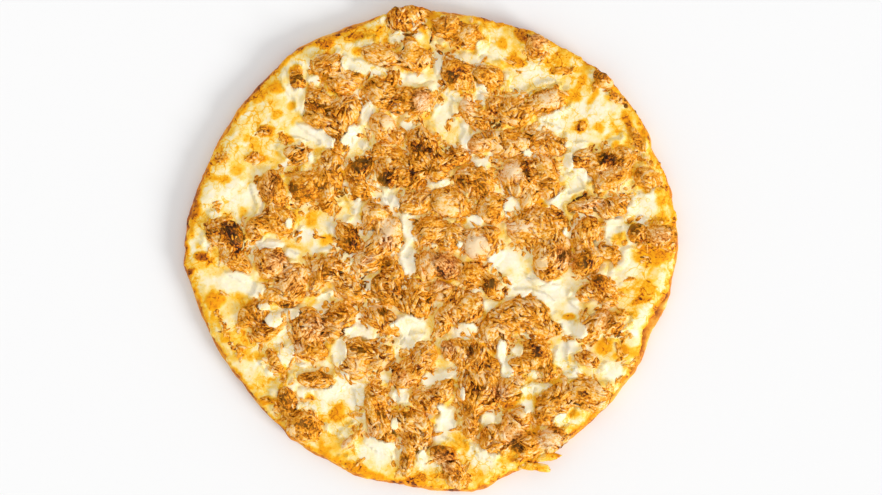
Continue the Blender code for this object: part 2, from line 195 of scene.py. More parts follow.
@dataclass
class Survey:
    """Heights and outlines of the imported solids, read by casting rays at them."""

    cell: float = 1.0 * MM
    half: float = 158.0 * MM
    sky: float = 100.0 * MM
    bearings: int = 720
    names: list[str] = field(default_factory=lambda: sorted(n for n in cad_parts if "tuna" in n))

    def __post_init__(self) -> None:
        """Reads every chart that the pieces need.

        The plain chart is the cheese without what is less than nine cells wide, which leaves out the
        small flakes fused to it, and raised marks where those stand.
        """
        self.cheese, _ = self.heights(["cheese"])
        self.tuna, self.owner = self.heights(self.names)
        self.crust_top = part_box("crust")[1].z
        self.seat = min(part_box(name)[0].z for name in self.names)
        covered = self.tuna.with_values((self.owner >= 0).astype(float))
        self.near_tuna = covered.blurred(2.2 * MM)
        self.plain = self.cheese.pick(4, True).pick(4, False)
        self.raised = self.cheese.values - self.plain.values > 0.45 * MM
        self.round_tuna = covered.blurred(5.0 * MM)
        self.angles = np.linspace(-math.pi, math.pi, self.bearings + 1)

    def plane(self) -> tuple[Array, Array]:
        """The coordinates of every cell's corner."""
        line = np.linspace(-self.half, self.half, self.owner.shape[0])
        return np.meshgrid(line, line)

    def tree(self, names: list[str]) -> tuple[BVHTree, Array]:
        """A search tree of some nodes' faces, and for each face the number of its node."""
        points, faces, owners = [], [], []
        for number, name in enumerate(names):
            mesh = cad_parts[name].data
            start = len(points)
            points += [vertex.co.copy() for vertex in mesh.vertices]
            faces += [[start + corner for corner in face.vertices] for face in mesh.polygons]
            owners += [number] * len(mesh.polygons)
        return BVHTree.FromPolygons(points, faces), np.array(owners)

    def heights(self, names: list[str]) -> tuple[Chart, Array]:
        """Casts a ray down at every cell's corner.

        Args:
            names: The nodes to look at.

        Returns:
            A chart of the highest point met, 0 where there is none, and the number of the node met,
            -1 where there is none.
        """
        tree, owners = self.tree(names)
        line = np.arange(-self.half, self.half + self.cell / 2, self.cell)
        down = Vector((0.0, 0.0, -1.0))
        tops = np.zeros((len(line), len(line)))
        owner = np.full(tops.shape, -1)
        for row, y in enumerate(line):
            for column, x in enumerate(line):
                place, _, face, _ = tree.ray_cast(Vector((x, y, self.sky)), down)
                if place is not None:
                    tops[row, column] = place.z
                    owner[row, column] = owners[face]
        return Chart(tops, self.cell, self.half), owner

    def outline(self, name: str, height: float) -> Array:
        """The radius of a node at one height, seen from the axis, at each of the survey's angles."""
        tree, _ = self.tree([name])
        radii = []
        for angle in self.angles:
            out = Vector((math.cos(angle), math.sin(angle), 0.0))
            place, _, _, _ = tree.ray_cast(out * 2 * self.half + Vector((0, 0, height)), -out)
            radii.append(math.hypot(place.x, place.y) if place is not None else 0.0)
        return np.array(radii)

    def along(self, radii: Array, angle: Array) -> Array:
        """Reads an outline at any angles."""
        return np.interp(angle, self.angles, radii)


# Meshes


@dataclass
class Shape:
    """Points, faces and values at the points, gathered until they become one mesh."""

    points: list[Array] = field(default_factory=list)
    faces: list[Array] = field(default_factory=list)
    values: dict[str, list[Array]] = field(default_factory=dict)
    count: int = 0

    def add(self, points: Array, faces: list[Array], values: dict[str, Array]) -> None:
        """Adds a surface.

        Args:
            points: Its points, one row each.
            faces: Arrays of faces of equal size, as rows of point numbers counted within the surface.
            values: Its named values, one or three for each point.
        """
        self.points.append(points)
        self.faces += [rows + self.count for rows in faces]
        for name, numbers in values.items():
            self.values.setdefault(name, []).append(numbers)
        self.count += len(points)

    def build(self, name: str, material: bpy.types.Material) -> bpy.types.Object:
        """Writes the mesh, shades it smooth and links it as an object at the origin."""
        mesh = bpy.data.meshes.new(name)
        points = np.concatenate(self.points).astype(np.float32)
        sizes = np.concatenate([np.full(len(rows), rows.shape[1]) for rows in self.faces])
        corners = np.concatenate([rows.ravel() for rows in self.faces])
        mesh.vertices.add(len(points))
        mesh.vertices.foreach_set("co", points.ravel())
        mesh.loops.add(len(corners))
        mesh.loops.foreach_set("vertex_index", corners.astype(np.int32))
        mesh.polygons.add(len(sizes))
        starts = np.concatenate(([0], np.cumsum(sizes)[:-1]))
        mesh.polygons.foreach_set("loop_start", starts.astype(np.int32))
        mesh.update(calc_edges=True)
        for label, parts in self.values.items():
            numbers = np.concatenate(parts).astype(np.float32)
            if numbers.ndim == 1:
                mesh.attributes.new(label, "FLOAT", "POINT").data.foreach_set("value", numbers)
            else:
                layer = mesh.attributes.new(label, "FLOAT_VECTOR", "POINT")
                layer.data.foreach_set("vector", numbers.ravel())
        mesh.shade_smooth()
        mesh.materials.append(material)
        obj = bpy.data.objects.new(name, mesh)
        bpy.context.scene.collection.objects.link(obj)
        return obj


def grid_faces(rows: int, columns: int, wrapped: bool = False) -> Array:
    """Quads between neighbouring rows of a grid of points.

    Args:
        rows: Rows of points.
        columns: Points in a row.
        wrapped: Whether each row closes on itself.

    Returns:
        Faces that point up where rows run along +Y and columns along +X.
    """
    row = np.arange(rows - 1)[:, None]
    column = np.arange(columns if wrapped else columns - 1)[None, :]
    following = (column + 1) % columns
    a = row * columns + column
    b = row * columns + following
    return np.stack([a, b, b + columns, a + columns], axis=-1).reshape(-1, 4)


def fan(ring: Array, pole: int) -> Array:
    """Triangles from a pole to each side of a closed ring of points, in the ring's own direction."""
    return np.stack([np.full(len(ring), pole), ring, np.roll(ring, -1)], axis=-1)


def turned(first: Array, second: Array, angle: Array | float) -> tuple[Array, Array]:
    """Two coordinates turned by an angle, from the first towards the second."""
    cos, sin = np.cos(angle), np.sin(angle)
    return first * cos - second * sin, first * sin + second * cos


def finish_piece(obj: bpy.types.Object, nodes: list[str]) -> None:
    """Rides a piece on the body and lets it stand for its nodes."""
    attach(obj, "root")
    if nodes:
        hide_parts(*nodes)
    LOG.info("%s: %d faces, stands for %s", obj.name, len(obj.data.polygons), nodes or "nothing")


# Finishes


def linear(red: int, green: int, blue: int) -> tuple[float, float, float, float]:
    """Turns a colour as a screen shows it, 0 to 255, into the light it stands for."""
    light = []
    for part in (red, green, blue):
        share = part / 255
        light.append(share / 12.92 if share <= 0.04045 else ((share + 0.055) / 1.055) ** 2.4)
    return (*light, 1.0)


class Value:
    """A socket's output, which arithmetic turns into Math nodes."""

    def __init__(self, shader: "Shader", socket: bpy.types.NodeSocket) -> None:
        """Wraps one output socket of a shader's node."""
        self.shader = shader
        self.socket = socket

    def maths(self, operation: str, first: object, second: object) -> "Value":
        """One Math node on two values."""
        return self.shader.node("ShaderNodeMath", {"operation": operation}, {0: first, 1: second})

    def __add__(self, other: object) -> "Value":
        """This plus other."""
        return self.maths("ADD", self, other)

    __radd__ = __add__

    def __sub__(self, other: object) -> "Value":
        """This less other."""
        return self.maths("SUBTRACT", self, other)

    def __rsub__(self, other: object) -> "Value":
        """Other less this."""
        return self.maths("SUBTRACT", other, self)

    def __mul__(self, other: object) -> "Value":
        """This times other."""
        return self.maths("MULTIPLY", self, other)

    __rmul__ = __mul__

    def size(self) -> "Value":
        """This without its sign."""
        return self.maths("ABSOLUTE", self, 0.0)

    def between(self, low: float, high: float) -> "Value":
        """0 below low, 1 above high and a smooth rise between them."""
        settings = {"interpolation_type": "SMOOTHSTEP"}
        inputs = {"Value": self, "From Min": low, "From Max": high}
        return self.shader.node("ShaderNodeMapRange", settings, inputs)


class Shader:
    """A Principled material whose nodes are made one call at a time."""

    def __init__(self, name: str) -> None:
        """Makes the material and keeps its Principled node."""
        self.material = bpy.data.materials.new(name)
        self.material.use_nodes = True
        self.tree = self.material.node_tree
        self.surface = self.tree.nodes["Principled BSDF"]

    def node(self, kind: str, settings: dict, inputs: dict, output: int | str = 0) -> Value:
        """Adds a node.

        Args:
            kind: The node's type.
            settings: Its properties, and under stops a ramp's places and colours.
            inputs: Values or links, by socket name or number.
            output: The socket to return.

        Returns:
            The output, ready for arithmetic.
        """
        made = self.tree.nodes.new(kind)
        for name, setting in settings.items():
            if name == "stops":
                self.set_stops(made.color_ramp, setting)
            else:
                setattr(made, name, setting)
        for name, value in inputs.items():
            self.feed(made.inputs[name], value)
        return Value(self, made.outputs[output])

    @staticmethod
    def set_stops(ramp: bpy.types.ColorRamp, stops: tuple) -> None:
        """Gives a ramp its places and colours."""
        while len(ramp.elements) < len(stops):
            ramp.elements.new(0.5)
        for element, (place, colour) in zip(ramp.elements, stops):
            element.position = place
            element.color = linear(*colour)

    def feed(self, socket: bpy.types.NodeSocket, value: object) -> None:
        """Links a value to a socket, or sets it."""
        if isinstance(value, Value):
            self.tree.links.new(value.socket, socket)
        else:
            socket.default_value = value

    def constant(self, **values: object) -> None:
        """Sets Principled sockets that are the same all over, with _ for each space in a name."""
        for name, value in values.items():
            self.surface.inputs[name.replace("_", " ")].default_value = value

    def varying(self, name: str, value: Value) -> None:
        """Links a Principled socket to what changes over the surface."""
        self.feed(self.surface.inputs[name], value)

    def attribute(self, name: str, output: str = "Fac") -> Value:
        """Reads one of the mesh's own values."""
        return self.node("ShaderNodeAttribute", {"attribute_name": name}, {}, output)

    def place(self) -> Value:
        """Where on the object a point is, in metres."""
        return self.node("ShaderNodeTexCoord", {}, {}, "Object")

    def noise(self, where: Value, scale: float, detail: float = 3.0, roughness: float = 0.55) -> Value:
        """Noise from 0 to 1 with this many steps to a metre, or to a unit of the place given."""
        inputs = {"Vector": where, "Scale": scale, "Detail": detail, "Roughness": roughness}
        return self.node("ShaderNodeTexNoise", {}, inputs, "Fac")

    def ramp(self, value: Value, stops: tuple) -> Value:
        """A colour read off a ramp."""
        return self.node("ShaderNodeValToRGB", {"stops": stops}, {"Fac": value}, "Color")

    def mixed(self, share: object, first: object, second: object) -> Value:
        """Two colours mixed, from the first at share 0 to the second at share 1."""
        return self.node("ShaderNodeMix", {"data_type": "RGBA"}, {0: share, 6: first, 7: second}, 2)

    def bump(self, height: Value, depth: float, under: Value | None = None) -> Value:
        """A normal bent by a height from 0 to 1 that stands for this depth in metres."""
        inputs = {"Height": height, "Distance": depth, "Strength": 1.0}
        if under is not None:
            inputs["Normal"] = under
        return self.node("ShaderNodeBump", {}, inputs, "Normal")


@dataclass(frozen=True)
class CheeseFinish:
    """Melted cheese: the browned value runs from cream white through gold to burnt."""

    stops: tuple = (
        (0.00, (251, 241, 220)),
        (0.14, (250, 234, 193)),
        (0.28, (249, 220, 142)),
        (0.42, (248, 199, 72)),
        (0.56, (246, 176, 12)),
        (0.70, (234, 147, 0)),
        (0.86, (178, 90, 4)),
        (1.00, (74, 30, 6)),
    )

    def build(self) -> bpy.types.Material:
        """Colour from the browned value, browned seams between lumps and fine noise; an oily gloss."""
        shader = Shader("cheese")
        where = shader.place()
        browned = shader.attribute("browned")
        seamed = shader.attribute("seamed")
        fine = shader.noise(where, 520.0, 4.0, 0.6)
        coarse = shader.noise(where, 150.0, 4.0, 0.55)
        cells = shader.noise(where, 105.0, 2.0, 0.5)
        seam = 1.0 - (cells - 0.5).size().between(0.0, 0.030)
        small_cells = shader.noise(where, 230.0, 2.0, 0.5)
        thin_seam = 1.0 - (small_cells - 0.5).size().between(0.0, 0.05)
        fleck = shader.noise(where, 640.0, 3.0, 0.55).between(0.58, 0.70)
        level = browned + (fine - 0.5) * (0.18 + browned * 0.34) + (coarse - 0.5) * 0.34
        level = level + seam * seamed * 0.26 + thin_seam * seamed * 0.14 + fleck * (0.05 + browned * 0.30)
        shader.varying("Base Color", shader.ramp(level, self.stops))
        shader.varying("Roughness", 0.26 + fine * 0.20 + browned * 0.22)
        skin = shader.bump(shader.noise(where, 900.0, 3.0, 0.6), 0.12 * MM)
        lumps = shader.bump(small_cells, 0.28 * MM, skin)
        shader.varying("Normal", shader.bump(coarse, 0.5 * MM, lumps))
        shader.constant(Subsurface_Weight=0.3, Subsurface_Scale=1.0 * MM)
        shader.constant(Subsurface_Radius=(1.0, 0.85, 0.6), IOR=1.42, Specular_IOR_Level=0.2)
        return shader.material


@dataclass(frozen=True)
class CrustFinish:
    """Baked dough: the baked value runs from pale through gold to burnt."""

    stops: tuple = (
        (0.00, (247, 226, 176)),
        (0.30, (243, 188, 72)),
        (0.55, (234, 150, 18)),
        (0.75, (190, 102, 8)),
        (0.90, (116, 54, 8)),
        (1.00, (52, 24, 8)),
    )

    def build(self) -> bpy.types.Material:
        """Colour from the baked value and noise, a matt floury skin with fine pores."""
        shader = Shader("crust")
        where = shader.place()
        baked = shader.attribute("baked")
        fine = shader.noise(where, 600.0, 5.0, 0.62)
        broad = shader.noise(where, 190.0, 4.0, 0.6)
        level = baked + (fine - 0.5) * 0.45 + (broad - 0.5) * 0.60
        colour = shader.ramp(level, self.stops)
        flour = shader.noise(where, 260.0, 4.0, 0.7).between(0.60, 0.78)
        colour = shader.mixed(flour * 0.20, colour, linear(250, 226, 176))
        shader.varying("Base Color", colour)
        shader.varying("Roughness", 0.62 + broad * 0.22)
        pores = shader.bump(fine, 0.30 * MM)
        shader.varying("Normal", shader.bump(shader.noise(where, 1700.0, 2.0, 0.6), 0.08 * MM, pores))
        return shader.material


@dataclass(frozen=True)
class TunaFinish:
    """Cooked flaked tuna: beige or pinkish fibres, orange where oil gathers, and painted shade that turns
    the gaps and low places brown.
    """

    stops: tuple = (
        (0.00, (252, 220, 164)),
        (0.20, (249, 193, 96)),
        (0.40, (241, 168, 42)),
        (0.58, (227, 137, 10)),
        (0.74, (188, 95, 4)),
        (0.87, (119, 57, 6)),
        (1.00, (42, 18, 4)),
    )
    pink_stops: tuple = (
        (0.00, (250, 224, 192)),
        (0.30, (242, 190, 138)),
        (0.55, (220, 148, 86)),
        (0.78, (158, 86, 34)),
        (1.00, (52, 24, 10)),
    )
    along_step: float = 3.5
    across_step: float = 0.9

    def build(self) -> bpy.types.Material:
        """Streaks along the grain set the colour and the bump. Low places are painted darker as shade, and
        are more orange where oil gathers.
        """
        shader = Shader("tuna")
        grain = shader.attribute("grain", "Vector")
        scale = {0: grain, 1: (1 / self.along_step, 1 / self.across_step, 1.0)}
        stretched = shader.node("ShaderNodeVectorMath", {"operation": "MULTIPLY"}, scale, "Vector")
        where = shader.place()
        tone = shader.attribute("tone")
        rise = shader.attribute("rise")
        streak = shader.noise(stretched, 1.0, 4.0, 0.65)
        speck = shader.noise(where, 620.0, 4.0, 0.65)
        blot = shader.noise(where, 150.0, 3.0, 0.5)
        # Painted shade: dark flecks stand for the shade in small pits, and (1 - rise) colours the lower
        # places of a heap darker.
        pit_shade = shader.noise(where, 1050.0, 2.0, 0.5).between(0.60, 0.72)
        level = tone + (streak.between(0.34, 0.66) - 0.5) * 0.36 + (speck.between(0.36, 0.64) - 0.5) * 0.44
        level = level + (blot - 0.5) * 0.50 + (1.0 - rise) * 0.12 + pit_shade * 0.32
        colour = shader.ramp(level, self.stops)
        oil = shader.noise(where, 95.0, 3.0, 0.5).between(0.36, 0.60) * (1.0 - rise * 0.6)
        colour = shader.mixed(oil * 0.55, colour, linear(240, 162, 18))
        blush = shader.attribute("blush") * 0.8
        colour = shader.mixed(blush, colour, shader.ramp(level, self.pink_stops))
        shader.varying("Base Color", colour)
        shader.varying("Roughness", 0.42 + speck * 0.28)
        fibres = shader.bump(streak, 0.45 * MM)
        shader.varying("Normal", shader.bump(speck, 0.45 * MM, fibres))
        shader.constant(IOR=1.45, Specular_IOR_Level=0.18)
        return shader.material


@dataclass(frozen=True)
class FloorFinish:
    """A plain pale table top."""

    light: float = 0.86

    def build(self) -> bpy.types.Material:
        """One even matt colour."""
        shader = Shader("floor")
        shader.constant(Base_Color=(self.light, self.light, self.light, 1.0), Roughness=0.9)
        return shader.material


# The crust


@dataclass
class Crust:
    """The baked base: a closed turned surface whose side follows the solid's own outlines.

    Heights are shares of the solid's, and inner shares are those of the way out to the rim.
    """

    survey: Survey
    heights: tuple[float, ...] = (0.0, 0.04, 0.1, 0.2, 0.32, 0.44, 0.55, 0.66, 0.76, 0.86, 0.94, 1.0)
    inner_shares: tuple[float, ...] = (
        0.99, 0.98, 0.965, 0.95, 0.93, 0.9, 0.86, 0.76, 0.64, 0.5, 0.36, 0.22, 0.1,
    )
    blister: float = 0.6 * MM
    bubble: float = 0.4 * MM
    hollow: float = 0.25 * MM
    clear: float = 0.2 * MM

    def build(self, material: bpy.types.Material) -> bpy.types.Object:
        """Rings run from the middle of the top over the rim to the middle of the underside.

        Each ring's radius is the solid's outline at its height, and inside the rim a share of the
        outline of the top or the foot. Noise lifts blisters on the side and bubbles below.

        Args:
            material: The finish.

        Returns:
            The finished piece.
        """
        angles = self.survey.angles[:-1]
        high = self.survey.crust_top
        outlines = self.outlines(high)
        rings = [(outlines[-1] * share, high) for share in reversed(self.inner_shares)]
        rings += [(radii, share * high) for radii, share in zip(reversed(outlines), reversed(self.heights))]
        rings += [(outlines[0] * share, 0.0) for share in self.inner_shares]
        radius = np.array([ring for ring, _ in rings])
        height = np.array([np.full(len(angles), level) for _, level in rings])
        turn = np.broadcast_to(angles, radius.shape)
        lumps = mottle(turn * radius.max(), height * 2, 7 * MM, 3) * self.blister
        side = (height > 0.05 * high) & (height < 0.97 * high)
        radius = radius + np.where(side, lumps, 0.0)
        x, y = radius * np.cos(turn), radius * np.sin(turn)
        bare = (height > 0.99 * high) & (radius < outlines[-1] - 1 * MM)
        height = height - np.where(bare, self.bubble * (1 + mottle(x, y, 4 * MM, 6)), 0.0)
        under = (height < 0.02 * high) & (radius < outlines[0] - 1 * MM)
        height = height + np.where(under, self.hollow * np.maximum(1 + mottle(x, y, 9 * MM, 5), 0), 0.0)
        points = np.stack([x, y, height], axis=-1).reshape(-1, 3)
        poles = np.array([(0.0, 0.0, high), (0.0, 0.0, self.hollow)])
        loop = np.arange(len(angles))
        last = len(points) - len(angles) + loop
        sheet = grid_faces(len(rings), len(angles), wrapped=True)[:, ::-1]
        faces = [sheet, fan(loop, len(points)), fan(last[::-1], len(points) + 1)]
        baked = np.concatenate([self.baked(x, y, height, high).ravel(), [0.5, 0.5]])
        shape = Shape()
        shape.add(np.concatenate([points, poles]), faces, {"baked": baked})
        obj = shape.build("crust_baked", material)
        finish_piece(obj, ["crust"])
        return obj

    def outlines(self, high: float) -> list[Array]:
        """The solid's outline at each height, read a little lower so that the ray meets the side."""
        levels = [max(self.clear, share * high - self.clear) for share in self.heights]
        return [self.survey.outline("crust", level)[:-1] for level in levels]

    @staticmethod
    def baked(x: Array, y: Array, height: Array, high: float) -> Array:
        """How brown each point is: a dark upper edge, a paler band below it, spots on the underside."""
        share = height / high
        band = 0.56 + 0.10 * smooth_step(share, 0.55, 0.95) - 0.14 * np.exp(-(((share - 0.45) / 0.2) ** 2))
        band = band + 0.16 * mottle(x, y, 22 * MM, 8) + 0.22 * mottle(x, y, 5 * MM, 9)
        spots = 0.42 + 0.30 * smooth_step(mottle(x, y, 15 * MM, 11), 0.1, 0.6)
        return np.where(share < 0.06, spots, band)


# The cheese


LAYOUT_SHIFT = 1.7


@dataclass(frozen=True)
class Patch:
    """An oval patch, in layout millimetres and degrees: middle, half sizes, turn and strength."""

    x: float
    y: float
    long: float
    wide: float
    turn: float
    strength: float

    def cover(self, x: Array, y: Array) -> Array:
        """1 inside the oval and 0 outside, with an edge that noise makes uneven."""
        away_x, away_y = x - (self.x + LAYOUT_SHIFT) * MM, y - self.y * MM
        along, across = turned(away_x, away_y, -math.radians(self.turn))
        depth = np.hypot(along / (self.long * MM), across / (self.wide * MM))
        depth = depth + 0.35 * mottle(x, y, 6 * MM, 23)
        return 1 - smooth_step(depth, 0.55, 1.25)


def painted(patches: tuple[Patch, ...], survey: Survey, highest: bool = False) -> Chart:
    """A chart of some patches at their own strengths: their sum, or the highest at each place."""
    x, y = survey.plane()
    layers = [patch.strength * patch.cover(x, y) for patch in patches]
    return survey.cheese.with_values(np.max(layers, axis=0) if highest else np.sum(layers, axis=0))


BROWNED_PATCHES = tuple(Patch(*row) for row in (
    (6, -70, 6, 4, 20, 0.38), (-97, 100, 7, 6, 0, 0.62), (-107, 93, 7, 5, 20, 0.6),
    (-114, 67, 4, 3, 0, 0.5), (-85, 109, 5, 4, 40, 0.72), (-65, 125, 6, 4, 20, 0.74),
    (-50, 128, 6, 4, 0, 0.58), (-33, 132, 7, 4, 70, 0.62), (-47, 120, 5, 4, 0, 0.6),
    (-2, 143, 8, 4, 0, 0.6), (42, 125, 5, 4, 80, 0.6), (54, 129, 8, 4, -60, 0.76),
    (51, 114, 6, 4, -20, 0.66), (91, 102, 8, 3, 60, 0.56), (84, 93, 6, 5, 0, 0.6),
    (98, 93, 7, 3, 60, 0.56), (90, 75, 5, 4, 60, 0.76), (102, 74, 5, 4, -30, 0.56),
    (111, 63, 4, 3, 40, 0.56), (121, 73, 11, 3, -65, 0.72), (-128, 42, 5, 4, 0, 0.56),
    (-120, 48, 6, 5, 30, 0.52), (-135, -32, 8, 7, 0, 0.66), (-142, -5, 5, 4, 0, 0.86),
    (-118, -30, 5, 4, 0, 0.56), (-146, 24, 7, 6, 80, 0.8), (-74, 18, 5, 5, 0, 0.56),
    (-66, 5, 6, 5, 0, 0.56), (16, 16, 5, 4, 30, 0.62), (136, -4, 14, 7, 0, 0.63), (114, 6, 5, 5, 0, 0.52),
    (140, 30, 5, 9, 0, 0.52), (64, 27, 5, 4, 0, 0.6), (-127, -55, 6, 5, 0, 0.56),
    (-107, -66, 5, 4, 0, 0.54), (-58, -102, 7, 9, 0, 0.63), (-75, -91, 5, 3, 0, 0.56),
    (-92, -85, 4, 4, 0, 0.56), (47, -95, 8, 4, 10, 0.7), (2, -139, 8, 4, 0, 0.6),
    (104, -60, 8, 7, 30, 0.62), (60, -104, 4, 4, 0, 0.58), (86, -101, 5, 4, 0, 0.56),
    (124, -64, 5, 4, 0, 0.56), (140, -38, 21, 4, -112, 0.72), (128, -32, 9, 2.5, 15, 0.68),
    (103, -97, 12, 4, 50, 0.64), (-45, -136, 34, 4, -22, 0.66), (15, -120, 3, 8, 0, 0.5),
    (-113, 92, 12, 3, 55, 0.62), (-94, 112, 14, 3, 42, 0.64), (-70, 126, 12, 3, 20, 0.62),
    (-92, -77, 4, 6, 0, 0.56), (35, -57, 3, 5, 0, 0.6), (-2, -61, 4, 5, 0, 0.6),
    (20, -122, 2, 4, 0, 0.55), (83, -42, 4, 2, 0, 0.68), (116, -81, 5, 2.5, 15, 0.76),
    (115, -64, 5, 5, 0, 0.66), (106, -94, 5, 5, 0, 0.66), (97, -105, 6, 3, 40, 0.62),
    (-103, 72, 6, 3.5, 0, 0.7), (-91, 67, 5, 3.5, -30, 0.68), (-130, 55, 6, 4, 0, 0.7),
    (-109, 55, 8, 4, 0, 0.72), (78, 109, 8, 3, 3, 0.66), (99, 98, 3, 4, 0, 0.68), (-1, 137, 4, 5, 0, 0.5),
    (-134, 43, 4, 3, 0, 0.5), (-97, 82, 4, 4, 0, 0.5), (-87, 87, 3, 3, 0, 0.52), (-148, 12, 2, 6, 0, 0.6),
    (-141, -38, 3, 10, 15, 0.56), (-131, -62, 2.5, 8, 35, 0.72), (-115, -86, 2, 12, 38, 0.66),
    (-95, -108, 2, 12, 45, 0.66), (-16, -145, 16, 3, -8, 0.7), (-148, -14, 2, 6, -60, 0.95),
    (31, -146, 6, 3, 10, 0.78),
))
CREAM_PATCHES = tuple(Patch(*row) for row in (
    (-16, 12, 4, 11, 0, 0.95), (-15, -8, 5, 10, 0, 0.98), (-27, 29, 8, 4.5, -35, 0.98),
    (-47, 25, 2.5, 6, -15, 0.9), (25, 17, 6, 4, -10, 0.98), (16, 2, 2.5, 3, 0, 0.9),
    (43, -8, 9, 8, 20, 0.95), (50, -21, 6, 8, -30, 0.85), (-15, -46, 13, 6, -10, 0.95),
    (20, -49, 9, 4, 0, 0.8), (33, -35, 4, 4, 0, 0.6), (6, 40, 6, 3.5, 0, 0.85), (-37, 9, 3, 2.5, 0, 0.6),
    (46, 26, 4, 8, -10, 0.85), (-18, -24, 3, 2, 0, 0.9), (-14, -55, 10, 8, 20, 0.95),
    (6, -78, 8, 3, 20, 0.95), (-2, -80, 7, 4, 25, 0.95), (8, -104, 7, 9, 0, 0.98),
    (18, -89, 2.5, 6, 0, 0.85), (33, -104, 6, 4, 0, 0.8), (-20, -90, 6, 6, 0, 0.9),
    (-48, -91, 6, 10, 0, 0.95), (29, -128, 13, 7, -8, 0.9), (-34, -124, 14, 9, -15, 0.92),
    (-24, -108, 4, 5, 0, 0.8), (-6, -129, 4, 7, 0, 0.8), (4, -113, 5, 5, 0, 0.8), (45, -75, 4, 5, 0, 0.9),
    (51, -63, 5, 3, 0, 0.8), (-121, 35, 12, 13, 20, 0.8), (-134, 21, 5, 3, 0, 0.8),
    (-148, 1, 3, 8, 0, 0.5), (-118, -23, 16, 7.5, -15, 0.92), (-98, 2, 7, 2.5, 0, 0.9),
    (-88, 15, 2.5, 4, 0, 0.85), (-78, 8, 5, 5, 30, 0.8), (-68, 0, 8, 2.5, 10, 0.9),
    (-63, 12, 3, 6, 20, 0.7), (-86, -3, 5, 3, 0, 0.9), (-104, -36, 4, 3, 0, 0.8),
    (-86, -40, 5, 4, 40, 0.85), (-66, -29, 7, 3, 25, 0.8), (-142, -15, 4, 3, 0, 0.6),
    (-135, -20, 5, 3, 0, 0.6), (88, 41, 8, 8, 0, 0.85), (79, 32, 12, 3.5, 30, 0.85),
    (83, 52, 4, 7, 0, 0.8), (131, 27, 13, 8, 10, 0.95), (111, 12, 7, 8, 0, 0.9),
    (115, -14, 12, 7, 15, 0.6), (121, -6, 6, 6, 0, 0.8), (81, 10, 3, 3.5, 0, 0.95),
    (72, -28, 12, 6, -10, 0.95), (85, -36, 6, 5, 0, 0.95), (84, -60, 5, 5, 0, 0.95),
    (129, -42, 6, 11, -15, 0.92), (82, -49, 4, 6, 0, 0.9), (55, -26, 4, 4, 0, 0.9),
    (-119, 83, 9, 5, 30, 0.7), (-90, 97, 6, 5, 30, 0.8), (-72.5, 103, 4.5, 4, 0, 0.98),
    (-74, 69, 14, 6.5, -25, 0.95), (-93, 77, 6, 4, 0, 0.5), (-75, 55, 2.5, 4, 0, 0.85),
    (-54, 66, 3, 5, -20, 0.9), (-53, 113, 3.5, 5, 0, 0.9), (-126, 67, 6, 4, 40, 0.7),
    (-82, 113, 4, 3, 0, 0.7), (-42, 110, 14, 4.5, -14, 0.95), (-12, 104, 10, 4, 0, 0.8),
    (3, 111, 3, 7, 0, 0.8), (11, 94, 8, 3, -25, 0.7), (30, 93, 4.5, 8, 15, 0.85), (-42, 83, 4, 8, 0, 0.9),
    (-49, 72, 4, 5, 0, 0.9), (5, 83, 8, 6, 20, 0.75), (19, 69, 4, 8, 0, 0.9), (-18, 75, 4, 4, 0, 0.85),
    (-43, 63, 4, 3, 0, 0.8), (30, 53, 9, 4.5, 0, 0.95), (58, 58, 4, 4, 0, 0.9), (-43, 125, 7, 4, 0, 0.6),
    (-9, 130, 4, 3, 0, 0.8), (36, 122, 12, 6, -10, 0.8), (20, 116, 11, 4, -10, 0.8),
    (35, 132, 8, 4, 0, 0.7), (47, 101, 9, 6, 0, 0.7), (-23, 129, 6, 4, 0, 0.9),
    (-34, 140, 9, 4, 20, 0.75), (-84, 92, 7, 9, 0, 0.8), (66, 106, 16, 8, -8, 0.75),
    (94, 84, 17, 9, 8, 0.9), (88, 66, 10, 6, 20, 0.85), (75, 78, 10, 7, 0, 0.92),
    (112, 66, 8, 5, 30, 0.6), (-113, -75, 12, 9, -30, 0.6), (-58, -64, 5.5, 9, 0, 0.92),
    (-46, -51, 11, 5, -10, 0.85), (-90, -64, 6.5, 8, -20, 0.85), (-98, -44, 7, 5, 0, 0.85),
    (-79, -89, 10, 4, 0, 0.75), (-78, -97, 8, 3, 0, 0.7), (-60, -111, 9, 5, 0, 0.7),
    (-97, -88, 5, 4, 0, 0.6), (-55, -80, 4, 5, 0, 0.9), (-63, -88, 18, 5, 0, 0.85),
    (-80, -72, 4, 2, 0, 0.8), (79, -66, 5, 10, 0, 0.9), (90, -51, 6, 5, 0, 0.9), (42, -62, 4, 8, 0, 0.85),
    (85, -76, 6, 3.5, 0, 0.7), (109, -75, 8, 7, 0, 0.85), (60, -77, 3.5, 3, 0, 0.9),
    (57, -97, 5, 7, 0, 0.85), (60, -87, 12, 4, 10, 0.85), (77, -104, 6.5, 4.5, 20, 0.85),
    (63, -85, 5, 3.5, 0, 0.8), (64, -129, 4, 3, 0, 0.6),
))


